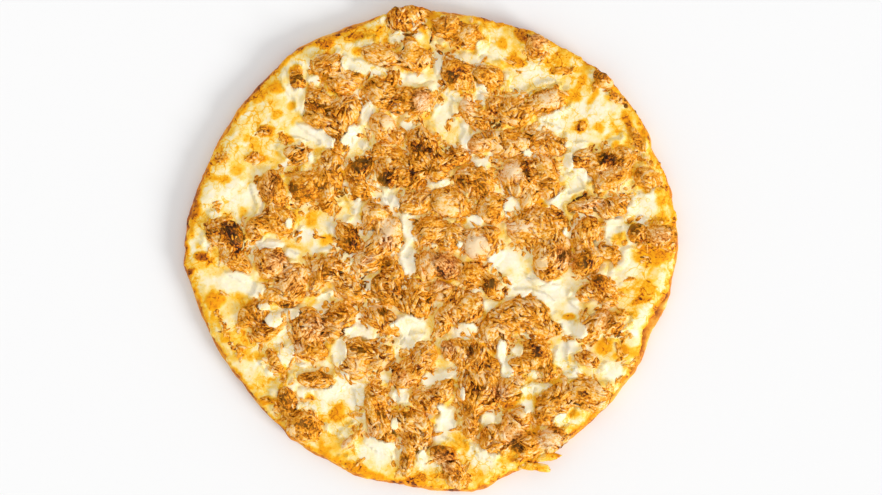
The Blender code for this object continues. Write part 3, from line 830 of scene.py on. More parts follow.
@dataclass(frozen=True)
class Drop:
    """A crisp drop of cheese beyond the rim, in layout millimetres: middle, half sizes and turn."""

    x: float
    y: float
    long: float
    wide: float
    turn: float

    def add(self, shape: Shape, foot: float, top: float) -> None:
        """Adds the drop as rings from its foot to its top, with a ragged plan and a pole at each end.

        Args:
            shape: What takes the drop.
            foot: The height of its underside.
            top: The height of its highest place.
        """
        count = 48
        angle = np.linspace(0, 2 * math.pi, count, endpoint=False)[None, :]
        cos, sin = np.cos(angle), np.sin(angle)
        rise = np.array([0.0, 0.0, 0.12, 0.35, 0.62, 0.84, 0.96, 1.0])[:, None]
        share = np.array([0.5, 0.86, 0.97, 1.0, 0.93, 0.74, 0.48, 0.22])[:, None]
        ragged = 1 + 0.34 * mottle(cos * 4 * MM + self.x * MM, sin * 4 * MM, 2.4 * MM, 48)
        along = self.long * MM * share * ragged * cos
        across = self.wide * MM * share * ragged * sin
        x, y = turned(along, across, math.radians(self.turn))
        x, y = x + (self.x + LAYOUT_SHIFT) * MM, y + self.y * MM
        lumps = 0.45 * MM * mottle(x, y, 2.5 * MM, 49) * rise
        z = foot + (top - foot) * rise + lumps
        ends = [[x[ring].mean(), y[ring].mean(), z[ring].mean()] for ring in (0, -1)]
        points = np.concatenate([np.stack([x, y, z], axis=-1).reshape(-1, 3), np.array(ends)])
        loop = np.arange(count)
        below, above = len(points) - 2, len(points) - 1
        last = (len(rise) - 1) * count + loop
        faces = [grid_faces(len(rise), count, wrapped=True), fan(loop[::-1], below), fan(last, above)]
        browned = 0.45 + 0.18 * mottle(points[:, 0], points[:, 1], 3 * MM, 50)
        looks = {"browned": browned, "seamed": np.ones(len(points))}
        shape.add(points, faces, looks)


DROPS = (Drop(70, -128, 8.0, 2.9, 5), Drop(62, -134, 9.6, 2.9, -8))


@dataclass
class Cheese:
    """The melted sheet and the drops beyond it.

    The sheet is a square grid pressed into the round outline, with a rounded edge and a flat back.
    """

    survey: Survey
    steps: int = 292
    edge_rings: tuple[tuple[float, float], ...] = ((0.5, 0.62), (0.15, 0.42), (0.0, 0.2), (0.35, 0.0))
    edge_width: float = 1.3 * MM
    thin: float = 3.4 * MM
    climb: float = 1.8 * MM
    drop_foot: float = 0.9 * MM
    drop_top: float = 3.6 * MM

    def __post_init__(self) -> None:
        """Works out the outline, the back's height and a chart of the top for what lies on it."""
        survey = self.survey
        self.under = survey.crust_top + 0.2 * MM
        self.outline = survey.outline("cheese", self.under + 0.7 * MM)
        self.heaps = survey.tuna.with_values(np.maximum(survey.tuna.values, survey.seat)).blurred(1.5 * MM)
        self.cream = painted(CREAM_PATCHES, survey, highest=True)
        self.golden = painted(BROWNED_PATCHES, survey, highest=True)
        self.crumbed = survey.raised & (self.cream.values < 0.35)
        self.near_crumbs = self.cream.with_values(self.crumbed.astype(float)).blurred(1.6 * MM)
        x, y = survey.plane()
        self.relief = survey.cheese.with_values(self.surface(x, y, self.rim(np.arctan2(y, x))))

    def rim(self, angle: Array) -> Array:
        """The radius of the cheese's edge at any angles."""
        return self.survey.along(self.outline, angle) + self.ragged(angle)

    def build(self, material: bpy.types.Material) -> bpy.types.Object:
        """Presses the grid into the outline, lifts it by the relief and closes it round the back.

        A grid point's larger coordinate is its share of the way out and the smaller one its angle, so
        that cells keep their area. The edge rings step out and down from the grid's border.

        Args:
            material: The finish.

        Returns:
            The finished piece.
        """
        line = np.linspace(-1, 1, self.steps + 1)
        u, v = np.meshgrid(line, line)
        share = np.maximum(np.abs(u), np.abs(v))
        angle = np.arctan2(*self.pressed(u, v))
        radius = self.rim(angle)
        reach = share * (radius - self.edge_width)
        x, y = reach * np.cos(angle), reach * np.sin(angle)
        z = self.surface(x, y, radius)
        top = np.stack([x, y, z], axis=-1).reshape(-1, 3)
        border = self.border()
        rings = [self.edge_ring(top[border], inset, level) for inset, level in self.edge_rings]
        points = np.concatenate([top, *rings])
        count = len(border)
        numbers = np.concatenate([border, np.arange(len(top), len(points))]).reshape(-1, count)
        faces = [grid_faces(self.steps + 1, self.steps + 1), self.strips(numbers), numbers[-1][None, ::-1]]
        shape = Shape()
        shape.add(points, faces, self.looks(points[:, 0], points[:, 1]))
        for drop in DROPS:
            drop.add(shape, self.under + self.drop_foot, self.under + self.drop_top)
        obj = shape.build("cheese_melted", material)
        finish_piece(obj, ["cheese"])
        return obj

    @staticmethod
    def pressed(u: Array, v: Array) -> tuple[Array, Array]:
        """The sine and cosine of a square grid point's angle once the square is pressed round."""
        flat = np.abs(u) > np.abs(v)
        safe_u = np.where(u == 0, 1e-12, u)
        safe_v = np.where(v == 0, 1e-12, v)
        turn = np.where(flat, math.pi / 4 * v / safe_u, math.pi / 2 - math.pi / 4 * u / safe_v)
        sign = np.where(flat, np.sign(safe_u), np.sign(safe_v))
        return sign * np.sin(turn), sign * np.cos(turn)

    def border(self) -> Array:
        """The numbers of the grid's border points, once round, anticlockwise from a corner."""
        number = np.arange((self.steps + 1) ** 2).reshape(self.steps + 1, -1)
        return np.concatenate([number[0, :-1], number[:-1, -1], number[-1, :0:-1], number[:0:-1, 0]])

    @staticmethod
    def strips(numbers: Array) -> Array:
        """Quads between rings of equal count that run anticlockwise, each ring outside the last."""
        following = np.roll(numbers, -1, axis=1)
        quads = np.stack([numbers[:-1], numbers[1:], following[1:], following[:-1]], axis=-1)
        return quads.reshape(-1, 4)

    @staticmethod
    def ragged(angle: Array) -> Array:
        """How far the edge swells or shrinks round the pizza."""
        ring = 147 * MM
        x, y = ring * np.cos(angle), ring * np.sin(angle)
        return 0.8 * MM * mottle(x, y, 9 * MM, 31) + 0.7 * MM * mottle(x, y, 3 * MM, 32)

    def edge_ring(self, border: Array, inset: float, level: float) -> Array:
        """One ring of the rounded edge.

        Args:
            border: The grid's border points.
            inset: How far inside the outline the ring lies, as a share of the edge's width.
            level: Its height as a share of the cheese's thickness.

        Returns:
            The ring's points.
        """
        radius = np.hypot(border[:, 0], border[:, 1])
        grown = (radius + self.edge_width * (1 - inset)) / radius
        height = self.under + level * (border[:, 2] - self.under)
        return np.stack([border[:, 0] * grown, border[:, 1] * grown, height], axis=-1)

    def surface(self, x: Array, y: Array, radius: Array) -> Array:
        """The top: the solid's own level without its crumbs, with lumps, blisters and climbing edges."""
        survey = self.survey
        level = survey.plain.blurred(2 * MM)
        flat = np.maximum(level.at(x, y), self.under + 0.75 * self.thin)
        lumps = 0.50 * MM * mottle(x, y, 15 * MM, 41) + 0.24 * MM * mottle(x, y, 6 * MM, 42)
        lumps += 0.09 * MM * mottle(x, y, 2.4 * MM, 43, 2)
        near = survey.near_tuna.at(x, y)
        band = smooth_step(near, 0.04, 0.4) * (1 - smooth_step(near, 0.62, 0.98))
        climb = self.climb * band * smooth_step(mottle(x, y, 7 * MM, 44), -0.5, 0.9)
        blister = 0.5 * MM * smooth_step(self.browned(x, y), 0.5, 0.8) * (1 + mottle(x, y, 2.5 * MM, 45))
        out = np.hypot(x, y) / (radius - self.edge_width)
        fall = 0.5 * MM * smooth_step(out, 0.985, 1.0)
        under_heap = 0.8 * MM * smooth_step(near, 0.6, 1.0)
        bare = flat + lumps + climb + blister - fall - under_heap
        over = self.heaps.at(x, y) + 1.3 * MM + 0.4 * lumps - bare
        shallow = 1 - smooth_step(over, 1.6 * MM, 3.2 * MM)
        shallow = np.maximum(shallow, smooth_step(self.cream.at(x, y), 0.55, 0.75))
        return bare + np.maximum(over, 0) * shallow * self.flooded(x, y) * (near > 0.01)

    def flooded(self, x: Array, y: Array) -> Array:
        """Where melted cheese has run over the tuna: on the cream patches, and in small spots of noise."""
        spots = smooth_step(mottle(x, y, 7 * MM, 47, 2), 0.30, 0.62)
        return np.maximum(spots, smooth_step(self.cream.at(x, y), 0.25, 0.65))

    def looks(self, x: Array, y: Array) -> dict[str, Array]:
        """The values that the finish reads: how browned the cheese is, and how far seams show."""
        out = np.hypot(x, y)
        seamed = smooth_step(mottle(x, y, 26 * MM, 57), -0.6, 0.4)
        seamed = seamed * (0.4 + 0.6 * smooth_step(out, 70 * MM, 130 * MM))
        return {"browned": self.browned(x, y), "seamed": seamed}

    def browned(self, x: Array, y: Array) -> Array:
        """How browned the cheese is, 0 for cream white, 0.5 for yellow gold, 1 for burnt.

        A warped mottle lies under streaks like half melted shreds; patches, the tuna's oil and the
        baked rim add to it.
        """
        out = np.hypot(x, y)
        warp_x = x + 6 * MM * mottle(x, y, 16 * MM, 51)
        warp_y = y + 6 * MM * mottle(x, y, 16 * MM, 52)
        rimward = smooth_step(out, 70 * MM, 130 * MM)
        veins = mottle(warp_x, warp_y, 13 * MM, 53)
        pale = smooth_step(mottle(warp_x, warp_y, 6 * MM, 54), 0.0, 0.5)
        golden = smooth_step(mottle(warp_x, warp_y, 8 * MM, 60), 0.15, 0.65)
        total = 0.26 + 0.06 * rimward + (0.11 + 0.05 * rimward) * veins - 0.13 * pale
        total = total + (0.12 + 0.14 * rimward) * golden
        cream = self.cream.at(x, y)
        total = total * (1 - cream) + 0.05 * cream
        near = self.survey.near_tuna.at(x, y) + 0.8 * self.near_crumbs.at(x, y)
        near = near + 0.14 * mottle(x, y, 5 * MM, 56)
        oily = (0.45 + 0.26 * mottle(x, y, 9 * MM, 58)) * (1 - 0.9 * self.flooded(x, y))
        total = np.maximum(total, oily * smooth_step(near, 0.24, 0.64))
        inward = self.rim(np.arctan2(y, x)) - out + 1.6 * MM * mottle(x, y, 7 * MM, 55)
        edge = 0.54 + 0.22 * mottle(x, y, 12 * MM, 59) + 0.16 * mottle(x, y, 3 * MM, 61)
        edge = edge * (1 - smooth_step(inward, 0.6 * MM, 5.0 * MM))
        total = np.maximum(total, edge)
        return np.clip(np.maximum(total, self.golden.at(x, y)), 0, 1)


# The tuna


TUNA_SHADES = tuple(Patch(*row) for row in (
    (-29, 43, 3.5, 5, 0, 0.55), (-12, 43, 4, 4, 0, 0.45), (-45, 43, 5, 5, 0, 0.2),
    (-38, 25, 4, 3, 0, 0.35), (-49, 6, 5, 9, 0, 0.45), (-31, -9, 6, 3.5, -15, 0.5),
    (-40, -22, 6, 5, 0, 0.35), (-45, -28, 6, 3, -40, 0.4), (-31, -39, 2.2, 2.2, 0, 0.8),
    (12, -32, 5, 3, 0, 0.5), (9, -11, 7, 7, 0, 0.25), (19, 40, 6, 5, 0, 0.5), (27, 38, 5, 6, 0, 0.3),
    (35, -21, 5, 6, 0, 0.4), (37, 22, 5, 5, 0, 0.2), (-2, -32, 3, 4, 0, 0.35), (-10, -27, 5, 3, 0, 0.3),
    (-45, -61, 8, 3.5, -5, 0.5), (-34, -97, 6, 6, 0, 0.45), (-15, -99, 4, 3.5, 0, 0.35),
    (-14, -115, 4, 3, 0, 0.4), (-17, -130, 4, 6, 0, 0.35), (6, -125, 8, 5, -25, 0.45),
    (13, -138, 6, 5, 0, 0.35), (31, -71, 3.5, 3, 0, 0.45), (23, -62, 5, 4, 0, 0.35),
    (28, -86, 5, 3, 0, 0.4), (25, -99, 3.5, 2.5, 0, 0.3), (51, -119, 5, 4, 0, 0.45),
    (-23, -76, 2.5, 5, 20, 0.35), (-10, -74, 3, 4, 0, 0.3), (-122, 6, 8, 9, 0, 0.6),
    (-138, 9, 4, 4, 0, 0.35), (-97, 42, 5, 2.5, 0, 0.4), (-86, 38, 3.5, 5, 0, 0.45),
    (-80, 34, 6, 5, 0, 0.3), (-70, 37, 3, 4, 0, 0.3), (-99, -13, 5, 4, 0, 0.3),
    (-94, -5, 4, 2.5, -40, 0.5), (-83, -25, 5, 5, 0, 0.4), (-90, -34, 6, 2, 0, 0.35),
    (-111, -41, 5, 4.5, 0, 0.4), (-56, 28, 4, 7, 0, 0.35), (-54, -3, 4, 4.5, 0, 0.4),
    (-56, -40, 4, 3, 0, 0.3), (-65, -14, 5, 4, 0, 0.25), (-107, 15, 5, 5, 0, 0.25),
    (64, 3, 5, 2.5, 0, 0.4), (79, -3, 6, 5, 0, 0.4), (70, -13, 4, 4, 0, 0.35), (93, -8, 7, 5.5, 0, 0.5),
    (93, 14, 5, 7, 0, 0.3), (102, -21, 5, 6, 0, 0.45), (123, 13, 4, 4, 0, 0.4),
    (77, 21, 4, 2.5, -10, 0.45), (90, 31, 9, 1.8, 15, 0.5), (105, -45, 4, 4, 0, 0.3),
    (58, 43, 3.5, 5, 0, 0.35), (111, 45, 6, 4, 10, 0.25), (-83, 56, 8, 4.5, 0, 0.35),
    (-83, 103, 5, 5, 0, 0.4), (-64, 111, 3, 3, 0, 0.4), (-72, 86, 4.5, 4.5, 0, 0.45),
    (-60, 93, 3.5, 3.5, 0, 0.4), (-58, 81, 6, 4, 0, 0.4), (13, 107, 7, 6.5, 0, 0.5),
    (-22, 139, 4, 4, 0, 0.2), (-25, 93, 4, 5, 0, 0.25), (-13, 91, 1.8, 6, -30, 0.4),
    (-10, 61, 6, 5, 0, 0.5), (8, 59, 8, 4, 0, 0.2), (37, 76, 4, 3, 0, 0.5), (35, 84, 4, 4, 0, 0.35),
    (9, 134, 5, 2, 0, 0.35), (-45, 51, 7, 4.5, 0, 0.5), (63, 126, 5, 5, 0, 0.3),
    (102, 106, 5, 5, 0, 0.45), (108, 54, 9, 4, 0, 0.45), (66, 96, 7, 2, 5, 0.35), (56, 50, 4, 4, 0, 0.45),
    (59, 66, 4, 3, 0, 0.3), (-89, -91, 4, 6, 0, 0.45), (-78, -106, 6, 5, 0, 0.35),
    (-75, -61, 3, 3, 0, 0.5), (-72, -78, 11, 3, 0, 0.3), (62, -62, 5, 5, 0, 0.45),
    (91, -89, 4, 2.5, 0, 0.5), (76, -91, 5, 3, 40, 0.3), (74, -111, 3.5, 2, 0, 0.45),
    (57, -114, 7, 2.5, 0, 0.4), (57, -122, 8, 3, 0, 0.45), (94, -67, 4, 3, 0, 0.25),
    (113, -53, 4, 2.5, 0, 0.4), (67, -103, 4, 5, 0, 0.35), (26, 1, 8, 7.5, 0, -0.28),
    (-28, 13, 6, 6, 0, -0.2), (-4, -10, 5, 8, 0, -0.1), (66, -9, 4, 4, 0, -0.6), (8, 26, 8, 6, 0, -0.1),
    (47, 46, 6, 5, 0, -0.15), (-7, 90, 5, 6, -30, -0.1), (47, -113, 7, 5, 0, -0.15),
    (-83, -61, 5, 4, 0, -0.2), (70, -116, 7, 5, 0, -0.15), (70, 91, 7, 5, 0, -0.2),
    (-24, 78, 6, 6, 0, -0.15), (103, -44, 7, 4, 60, -0.1), (20, 130, 6, 5, 0, -0.15),
    (-95, -44, 6, 5, 0, -0.1),
))
TUNA_BLUSHES = tuple(Patch(*row) for row in (
    (26, 1, 8, 7.5, 0, 0.6), (-28, 13, 6, 6, 0, 0.5), (-28, 4, 6, 4, 0, 0.6), (-39, -7, 6, 3, 20, 0.7),
    (9, -11, 8, 8, 0, 0.7), (-4, -10, 5, 8, 0, 0.35), (6, -23, 6, 3, 0, 0.6), (47, 46, 8, 6, 0, 0.6),
    (50, 13, 10, 3, 0, 0.6), (-7, 90, 7, 7, -30, 0.9), (25, 62, 8, 5, 0, 0.5), (63, 126, 5, 5, 0, 0.5),
    (-96, -9, 7, 7, 0, 0.6), (-74, -50, 10, 8, 0, 0.4), (-83, -61, 5, 4, 0, 0.6),
    (-38, -112, 6, 6, 0, 0.4), (6, -131, 8, 6, -40, 0.5), (48, -113, 9, 6, 0, 0.5),
    (70, -116, 8, 6, 0, 0.4), (-18, -79, 7, 5, 0, 0.5), (9, -62, 5, 5, 0, 0.5), (70, 91, 7, 5, 0, 0.4),
    (40, -88, 6, 5, 0, 0.5), (80, -6, 8, 7, 0, 0.4), (95, 26, 9, 3, 10, 0.5), (21, 87, 4, 6, 20, 0.5),
    (-24, 78, 6, 6, 0, 0.3), (103, -44, 7, 4, 60, 0.4), (-87, -20, 8, 8, 0, 0.35),
    (107, 46, 8, 4, 20, 0.3), (138, 8, 7, 5, 0, 0.5), (-100, 38, 5, 7, 0, 0.3),
    (-55, -118, 5, 3, 45, 0.6),
))


@dataclass
class Tints:
    """How the tuna's colour changes over the pizza: darker or paler, and pinkish."""

    shade: Chart
    blush: Chart

    @classmethod
    def charted(cls, survey: Survey) -> "Tints":
        """Charts the patches once, for all pieces."""
        return cls(painted(TUNA_SHADES, survey), painted(TUNA_BLUSHES, survey))


@dataclass(frozen=True)
class Slab:
    """A flake seen in its own right, in layout millimetres and degrees.

    It has its middle, its whole sizes, its turn and its tone.
    """

    x: float
    y: float
    long: float
    wide: float
    turn: float
    tone: float


SLABS = tuple(Slab(*row) for row in (
    (27, 0, 15, 13, 20, 0.05), (8, -10, 17, 15, -40, 0.35), (-4, -10, 17, 11, 75, 0.2),
    (-33, 20, 13, 11, 0, 0.3), (-26, 13, 14, 10, -30, 0.1), (9, 26, 18, 14, -10, 0.25),
    (-11, 25, 15, 6, 0, 0.3), (47, 46, 14, 10, 0, 0.2), (56, 28, 22, 8, 65, 0.25), (37, 22, 9, 9, 0, 0.4),
    (48, 12, 20, 5, 0, 0.15), (25, -15, 14, 12, 0, 0.3), (22, -33, 13, 11, 0, 0.3),
    (35, -27, 17, 7, 80, 0.4), (0, 9, 15, 9, 10, 0.3), (-6, 90, 14, 12, 50, 0.2), (66, -9, 8, 8, 0, 0),
    (25, 63, 14, 9, 0, 0.25), (13, 107, 18, 15, 60, 0.3), (-99, -12, 14, 11, 30, 0.3),
    (-86, -22, 16, 13, 60, 0.25), (-18, -77, 16, 12, 35, 0.3), (-35, -100, 22, 13, -60, 0.3),
    (6, -125, 14, 9, -30, 0.35), (13, -137, 14, 11, -50, 0.35), (47, -113, 18, 12, 0, 0.3),
    (71, -117, 15, 11, 0, 0.25), (62, -64, 14, 14, 0, 0.3), (104, -43, 20, 8, 55, 0.3),
    (92, 13, 18, 10, 80, 0.35), (93, -8, 12, 12, 0, 0.4), (102, -22, 14, 12, -60, 0.35),
    (-122, 5, 18, 14, -60, 0.4), (-79, -106, 14, 12, 30, 0.35), (-89, -92, 14, 8, -75, 0.35),
    (-74, -62, 14, 10, 0, 0.3), (105, 105, 10, 9, 0, 0.4), (63, 125, 12, 10, 0, 0.35),
    (68, 91, 18, 12, 10, 0.25), (134, 43, 13, 11, 0, 0.35), (110, 44, 20, 11, 15, 0.35),
    (136, 8, 16, 11, -10, 0.3), (-22, 140, 12, 10, 90, 0.3), (20, 130, 14, 10, -40, 0.25),
    (8, 134, 12, 8, 0, 0.35), (-12, 119, 14, 13, 0, 0.35), (-33, 120, 18, 9, -15, 0.3),
    (34, 104, 18, 9, -20, 0.3), (20, 87, 12, 8, -50, 0.2), (-25, 77, 14, 13, 0, 0.2),
    (-80, 37, 18, 14, 0, 0.35), (68, -103, 18, 8, 55, 0.35), (92, -90, 18, 10, -15, 0.35),
))
SLIVERS = tuple(Slab(*row) for row in (
    (3, 93, 9, 2.6, -60, 0.85), (74, 21, 8, 1.6, -12, 0.85), (90, 31, 16, 1.8, 15, 0.75),
    (23, -44, 1.6, 1.4, 0, 1), (111, 93, 6, 5, 0, 0.6), (116, 90, 6, 4, -30, 0.6),
    (118, 87, 3, 3, -60, 1), (125, 84, 3, 2.4, 0, 1), (-107, 17, 5, 2.4, 60, 0.9),
    (-58, 63, 7, 2, -60, 0.8), (78, 109, 13, 4, 3, 0.5), (-103, 72, 9, 4, 10, 0.5),
    (-91, 67, 7, 4, -50, 0.5), (-130, 55, 9, 4, 0, 0.55), (-109, 55, 11, 5, 0, 0.55),
    (91, 75, 7, 4, 80, 0.45), (115, -64, 9, 3, -60, 0.5), (113, -53, 8, 3, 30, 0.55),
    (-104, -92, 8, 3, -20, 0.5), (-8, -80, 9, 2, 5, 0.5),
))


@dataclass(frozen=True)
class Cut:
    """One kind of flake.

    Sizes, the width of a bundle of fibres and the height of its ridge are in millimetres. Rows run
    along a flake, over and below count the points round it, bend is how much it curves, fray how far
    its ends are ragged, and tone how dark it may be.
    """

    long: tuple[float, float]
    wide: tuple[float, float]
    thick: tuple[float, float]
    bend: float
    rows: int
    over: int
    below: int
    bundle: float
    ridge: float
    fray: float
    tone: tuple[float, float]


CHUNK = Cut((7.0, 14.0), (5.0, 9.0), (2.0, 3.0), 0.005, 13, 13, 3, 1.9, 0.60, 0.13, (0.05, 0.46))
STRIP = Cut((5.5, 13.0), (1.1, 2.6), (1.1, 1.8), 0.030, 9, 5, 2, 0.8, 0.34, 0.12, (0.12, 0.60))
NUGGET = Cut((2.6, 5.6), (1.8, 3.4), (1.3, 2.0), 0.030, 6, 7, 2, 1.2, 0.36, 0.10, (0.15, 0.60))
BIT = Cut((2.4, 6.0), (0.9, 2.0), (0.8, 1.3), 0.060, 5, 4, 2, 0.8, 0.20, 0.08, (0.12, 0.58))


@dataclass
class Laid:
    """Flakes laid on the pizza, one row of the arrays for each flake."""

    x: Array
    y: Array
    z: Array
    along: Array
    across: Array
    seeds: Array
    hollow: Array
    tone: Array
    faces: list[Array]

    def points(self) -> Array:
        """All points, one row each."""
        return np.stack([self.x, self.y, self.z], axis=-1).reshape(-1, 3)

    def flat(self, values: Array) -> Array:
        """Values spread over all points, in the points' order."""
        return np.broadcast_to(values, self.x.shape).ravel()

    def tuna_values(self, seat: float, tints: Tints) -> dict[str, Array]:
        """What the tuna's finish reads: the grain's coordinates, tone with painted shade in the fibres'
        hollows, blush, and height in the heap, by which low places are painted darker as shade.
        """
        grain = [self.flat(self.along / MM), self.flat(self.across / MM), self.flat(self.seeds)]
        # Painted shade: rise lets the finish darken low places, and hollow darkens the tone between fibres.
        rise = smooth_step(self.z - seat, -0.8 * MM, 4.5 * MM)
        tone = self.tone + self.hollow + tints.shade.at(self.x, self.y)
        blush = tints.blush.at(self.x, self.y)
        return {
            "grain": np.stack(grain, axis=-1),
            "tone": tone.ravel(),
            "blush": blush.ravel(),
            "rise": rise.ravel(),
        }


@dataclass
class Bed:
    """What carries flakes: the ground, a heap on it and the rim round both.

    No point lies over the ceiling, or deeper in the ground than deepest. Dive is how far a flake goes
    under where the heap thins out.
    """

    ground: Chart
    heap: Chart
    rim: Chart
    ceiling: float
    dive: float
    deepest: float = 3.0 * MM

    def pulled_in(self, x: Array, y: Array) -> tuple[Array, Array]:
        """Moves what lies beyond the rim back onto it, towards the middle."""
        beyond = np.clip(self.rim.at(x, y), -16 * MM, 0)
        share = 1 + beyond / np.maximum(np.hypot(x, y), 1 * MM)
        return x * share, y * share

    def height(self, x: Array, y: Array, level: Array, up: Array) -> Array:
        """The height of flakes' points.

        Args:
            x: Their coordinates.
            y: Their coordinates.
            level: The share of the heap that lies under each flake.
            up: Their heights over where the flake lies.

        Returns:
            Their heights in the frame.
        """
        base, stand = self.ground.at(x, y), self.heap.at(x, y)
        dive = self.dive * (1 - smooth_step(stand, 0.3 * MM, 1.6 * MM))
        return np.clip(base + stand * level + up - dive, base - self.deepest, self.ceiling)


@dataclass
class Flakes:
    """Many flakes of one cut, worked out together as arrays."""

    cut: Cut
    rng: np.random.Generator
    x: Array
    y: Array
    heading: Array
    slabs: tuple[Slab, ...] = ()

    @classmethod
    def of_slabs(cls, cut: Cut, rng: np.random.Generator, slabs: tuple[Slab, ...]) -> "Flakes":
        """Flakes where the slabs lie."""
        x = np.array([slab.x + LAYOUT_SHIFT for slab in slabs]) * MM
        y = np.array([slab.y for slab in slabs]) * MM
        heading = np.radians([slab.turn for slab in slabs])
        return cls(cut, rng, x, y, heading, slabs)

    def uniform(self, low: float, high: float) -> Array:
        """A random number from a range for each flake."""
        return self.rng.uniform(low, high, (len(self.x), 1, 1))

    def normal(self, spread: float) -> Array:
        """A random number about 0 for each flake."""
        return self.rng.normal(0, spread, (len(self.x), 1, 1))

    def drawn(self, name: str, low_high: tuple[float, float]) -> Array:
        """One number for each flake: its slab's own, or a random one from a range."""
        if self.slabs:
            return np.array([getattr(slab, name) for slab in self.slabs], float).reshape(-1, 1, 1)
        return self.uniform(*low_high)

    def lay(self, bed: Bed, level: Array, sunk: float) -> Laid:
        """Works out every flake's surface.

        Along a flake s runs from -1 to 1. The section is a rounded oblong that narrows to blunt ends,
        (1 - |s|^p)^(1/p) of its full size. Ridges of fibre and small lumps stand on its upper side,
        each bundle ends at its own place, and the whole bends, tilts and lies over the bed.

        Args:
            bed: What carries the flakes.
            level: For each flake, the share of the heap that lies under it.
            sunk: The share of its thickness by which a flake sinks in.

        Returns:
            The flakes.
        """
        cut = self.cut
        long = self.drawn("long", cut.long) * MM
        wide = self.drawn("wide", cut.wide) * MM
        thick = self.uniform(*cut.thick) * MM
        seeds = self.uniform(0, 500)
        power = self.uniform(2.0, 3.6)
        s, side, crown = self.section()
        along, across = s * long / 2, side * wide / 2
        relief, hollow = self.fibred(along, across, seeds)
        taper = 0.22 + 0.78 * np.maximum(1 - np.abs(s) ** power, 0) ** (1 / power)
        notch = 1 + 0.26 * ripple(along / (2.4 * MM) + seeds, np.sign(side) + seeds, 63)
        fray = cut.fray * long * ripple(across / (0.9 * MM) + seeds, np.sign(s) * 3 + seeds, 64)
        long_way = along + np.abs(s) ** 3 * np.sign(s) * fray
        wide_way = across * taper * notch
        up = crown * thick / 2 * taper
        up = up + np.where(crown > 0, relief, 0.0) * cut.ridge * MM * np.sqrt(taper)
        x, y, up = self.bent(along, long_way, wide_way, up)
        x, y = bed.pulled_in(x, y)
        z = bed.height(x, y, level.reshape(-1, 1, 1), up - thick * sunk)
        return Laid(x, y, z, along, across, seeds, hollow, self.drawn("tone", cut.tone), self.faces())

    def section(self) -> tuple[Array, Array, Array]:
        """Where the points lie: from -1 to 1 along a flake, across it and up."""
        upper = np.linspace(0, math.pi, self.cut.over, endpoint=False)
        lower = np.linspace(math.pi, 2 * math.pi, self.cut.below, endpoint=False)
        t = np.concatenate([upper, lower])[None, None, :]
        s = np.linspace(-1, 1, self.cut.rows)[None, :, None]
        side = np.sign(np.cos(t)) * np.abs(np.cos(t)) ** 0.8
        crown = np.sign(np.sin(t)) * np.abs(np.sin(t)) ** 0.6
        return s, side, crown

    def fibred(self, along: Array, across: Array, seeds: Array) -> tuple[Array, Array]:
        """The bundles of fibre on the flakes.

        Args:
            along: Distances along each flake.
            across: Distances across it.
            seeds: A number for each flake that picks its own pattern.

        Returns:
            The relief, as a share of the cut's ridge, and painted shade: how much darker each place is
            coloured where it lies low between bundles, crumbs and lumps.
        """
        waver = 0.4 * ripple(along / (3 * MM) + seeds, seeds, 60)
        bundle = across / (self.cut.bundle * MM) + seeds + waver
        number = np.floor(bundle)
        none = np.zeros_like(number)
        strand = np.abs(np.sin(math.pi * bundle)) ** 0.6
        crumb = ripple(across / (1.2 * MM) + seeds, along / (1.3 * MM) + seeds, 62)
        lump = ripple(across / (3.2 * MM) + seeds, along / (3.6 * MM) + seeds, 66)
        relief = 0.45 * strand + 0.35 * hashed(number, none, 67) + 0.55 * crumb + 0.7 * lump - 0.45
        # Painted shade: hollow colours the low places between bundles, crumbs and lumps darker.
        hollow = 0.45 * (1 - strand) ** 1.5 - 0.05 + 0.14 * (hashed(number, none, 68) - 0.5)
        return relief, hollow - 0.20 * crumb - 0.20 * lump

    def bent(self, along: Array, long_way: Array, wide_way: Array, up: Array) -> tuple[Array, Array, Array]:
        """Bends, tilts and turns the flakes.

        Args:
            along: How far along a flake a point is, which the bend grows with.
            long_way: The points' coordinates along the flakes.
            wide_way: Those across them.
            up: Those upwards.

        Returns:
            The points' coordinates on the pizza, and their heights over where the flake lies.
        """
        wide_way = wide_way + self.normal(self.cut.bend) / MM * along**2
        up = up - np.abs(self.normal(self.cut.bend * 0.4)) / MM * along**2
        roll, pitch = self.normal(0.28), self.normal(0.15)
        wide_way, up = turned(wide_way, up, roll)
        long_way, up = turned(long_way, up, pitch)
        x, y = turned(long_way, wide_way, self.heading.reshape(-1, 1, 1))
        return x + self.x.reshape(-1, 1, 1), y + self.y.reshape(-1, 1, 1), up

    def faces(self) -> list[Array]:
        """Quads round each flake, and one face that closes each end."""
        around = self.cut.over + self.cut.below
        first = np.arange(len(self.x))[:, None] * self.cut.rows * around
        last = first + (self.cut.rows - 1) * around
        ring = np.arange(around)[None, :]
        quads = grid_faces(self.cut.rows, around, wrapped=True)[:, ::-1][None] + first[:, :, None]
        return [quads.reshape(-1, 4), first + ring, last + ring[:, ::-1]]


def clear_places(
    rng: np.random.Generator, rows: Array, columns: Array, chart: Chart, gap: float
) -> tuple[Array, Array]:
    """Seeded places in some cells, in random order, each kept if it is clear of those before it.

    Args:
        rng: The random numbers.
        rows: The cells' rows.
        columns: The cells' columns.
        chart: Gives the cells' size.
        gap: The least distance between places.

    Returns:
        The places' coordinates.
    """
    order = rng.permutation(len(rows))
    spots = np.stack([columns[order], rows[order]], axis=-1) * chart.cell - chart.half
    spots = spots + rng.uniform(-0.5, 0.5, spots.shape) * chart.cell
    kept = np.empty_like(spots)
    kept[0] = spots[0]
    count = 1
    for spot in spots[1:]:
        away = kept[:count] - spot
        if (away[:, 0] ** 2 + away[:, 1] ** 2).min() > gap * gap:
            kept[count] = spot
            count += 1
    return kept[:count, 0], kept[:count, 1]


@dataclass(frozen=True)
class Layer:
    """One layer of flakes on a heap.

    They lie a gap apart where the heap stands at least so high, over a low to a high share of it.
    """

    cut: Cut
    gap: float
    stand: float
    low: float
    high: float


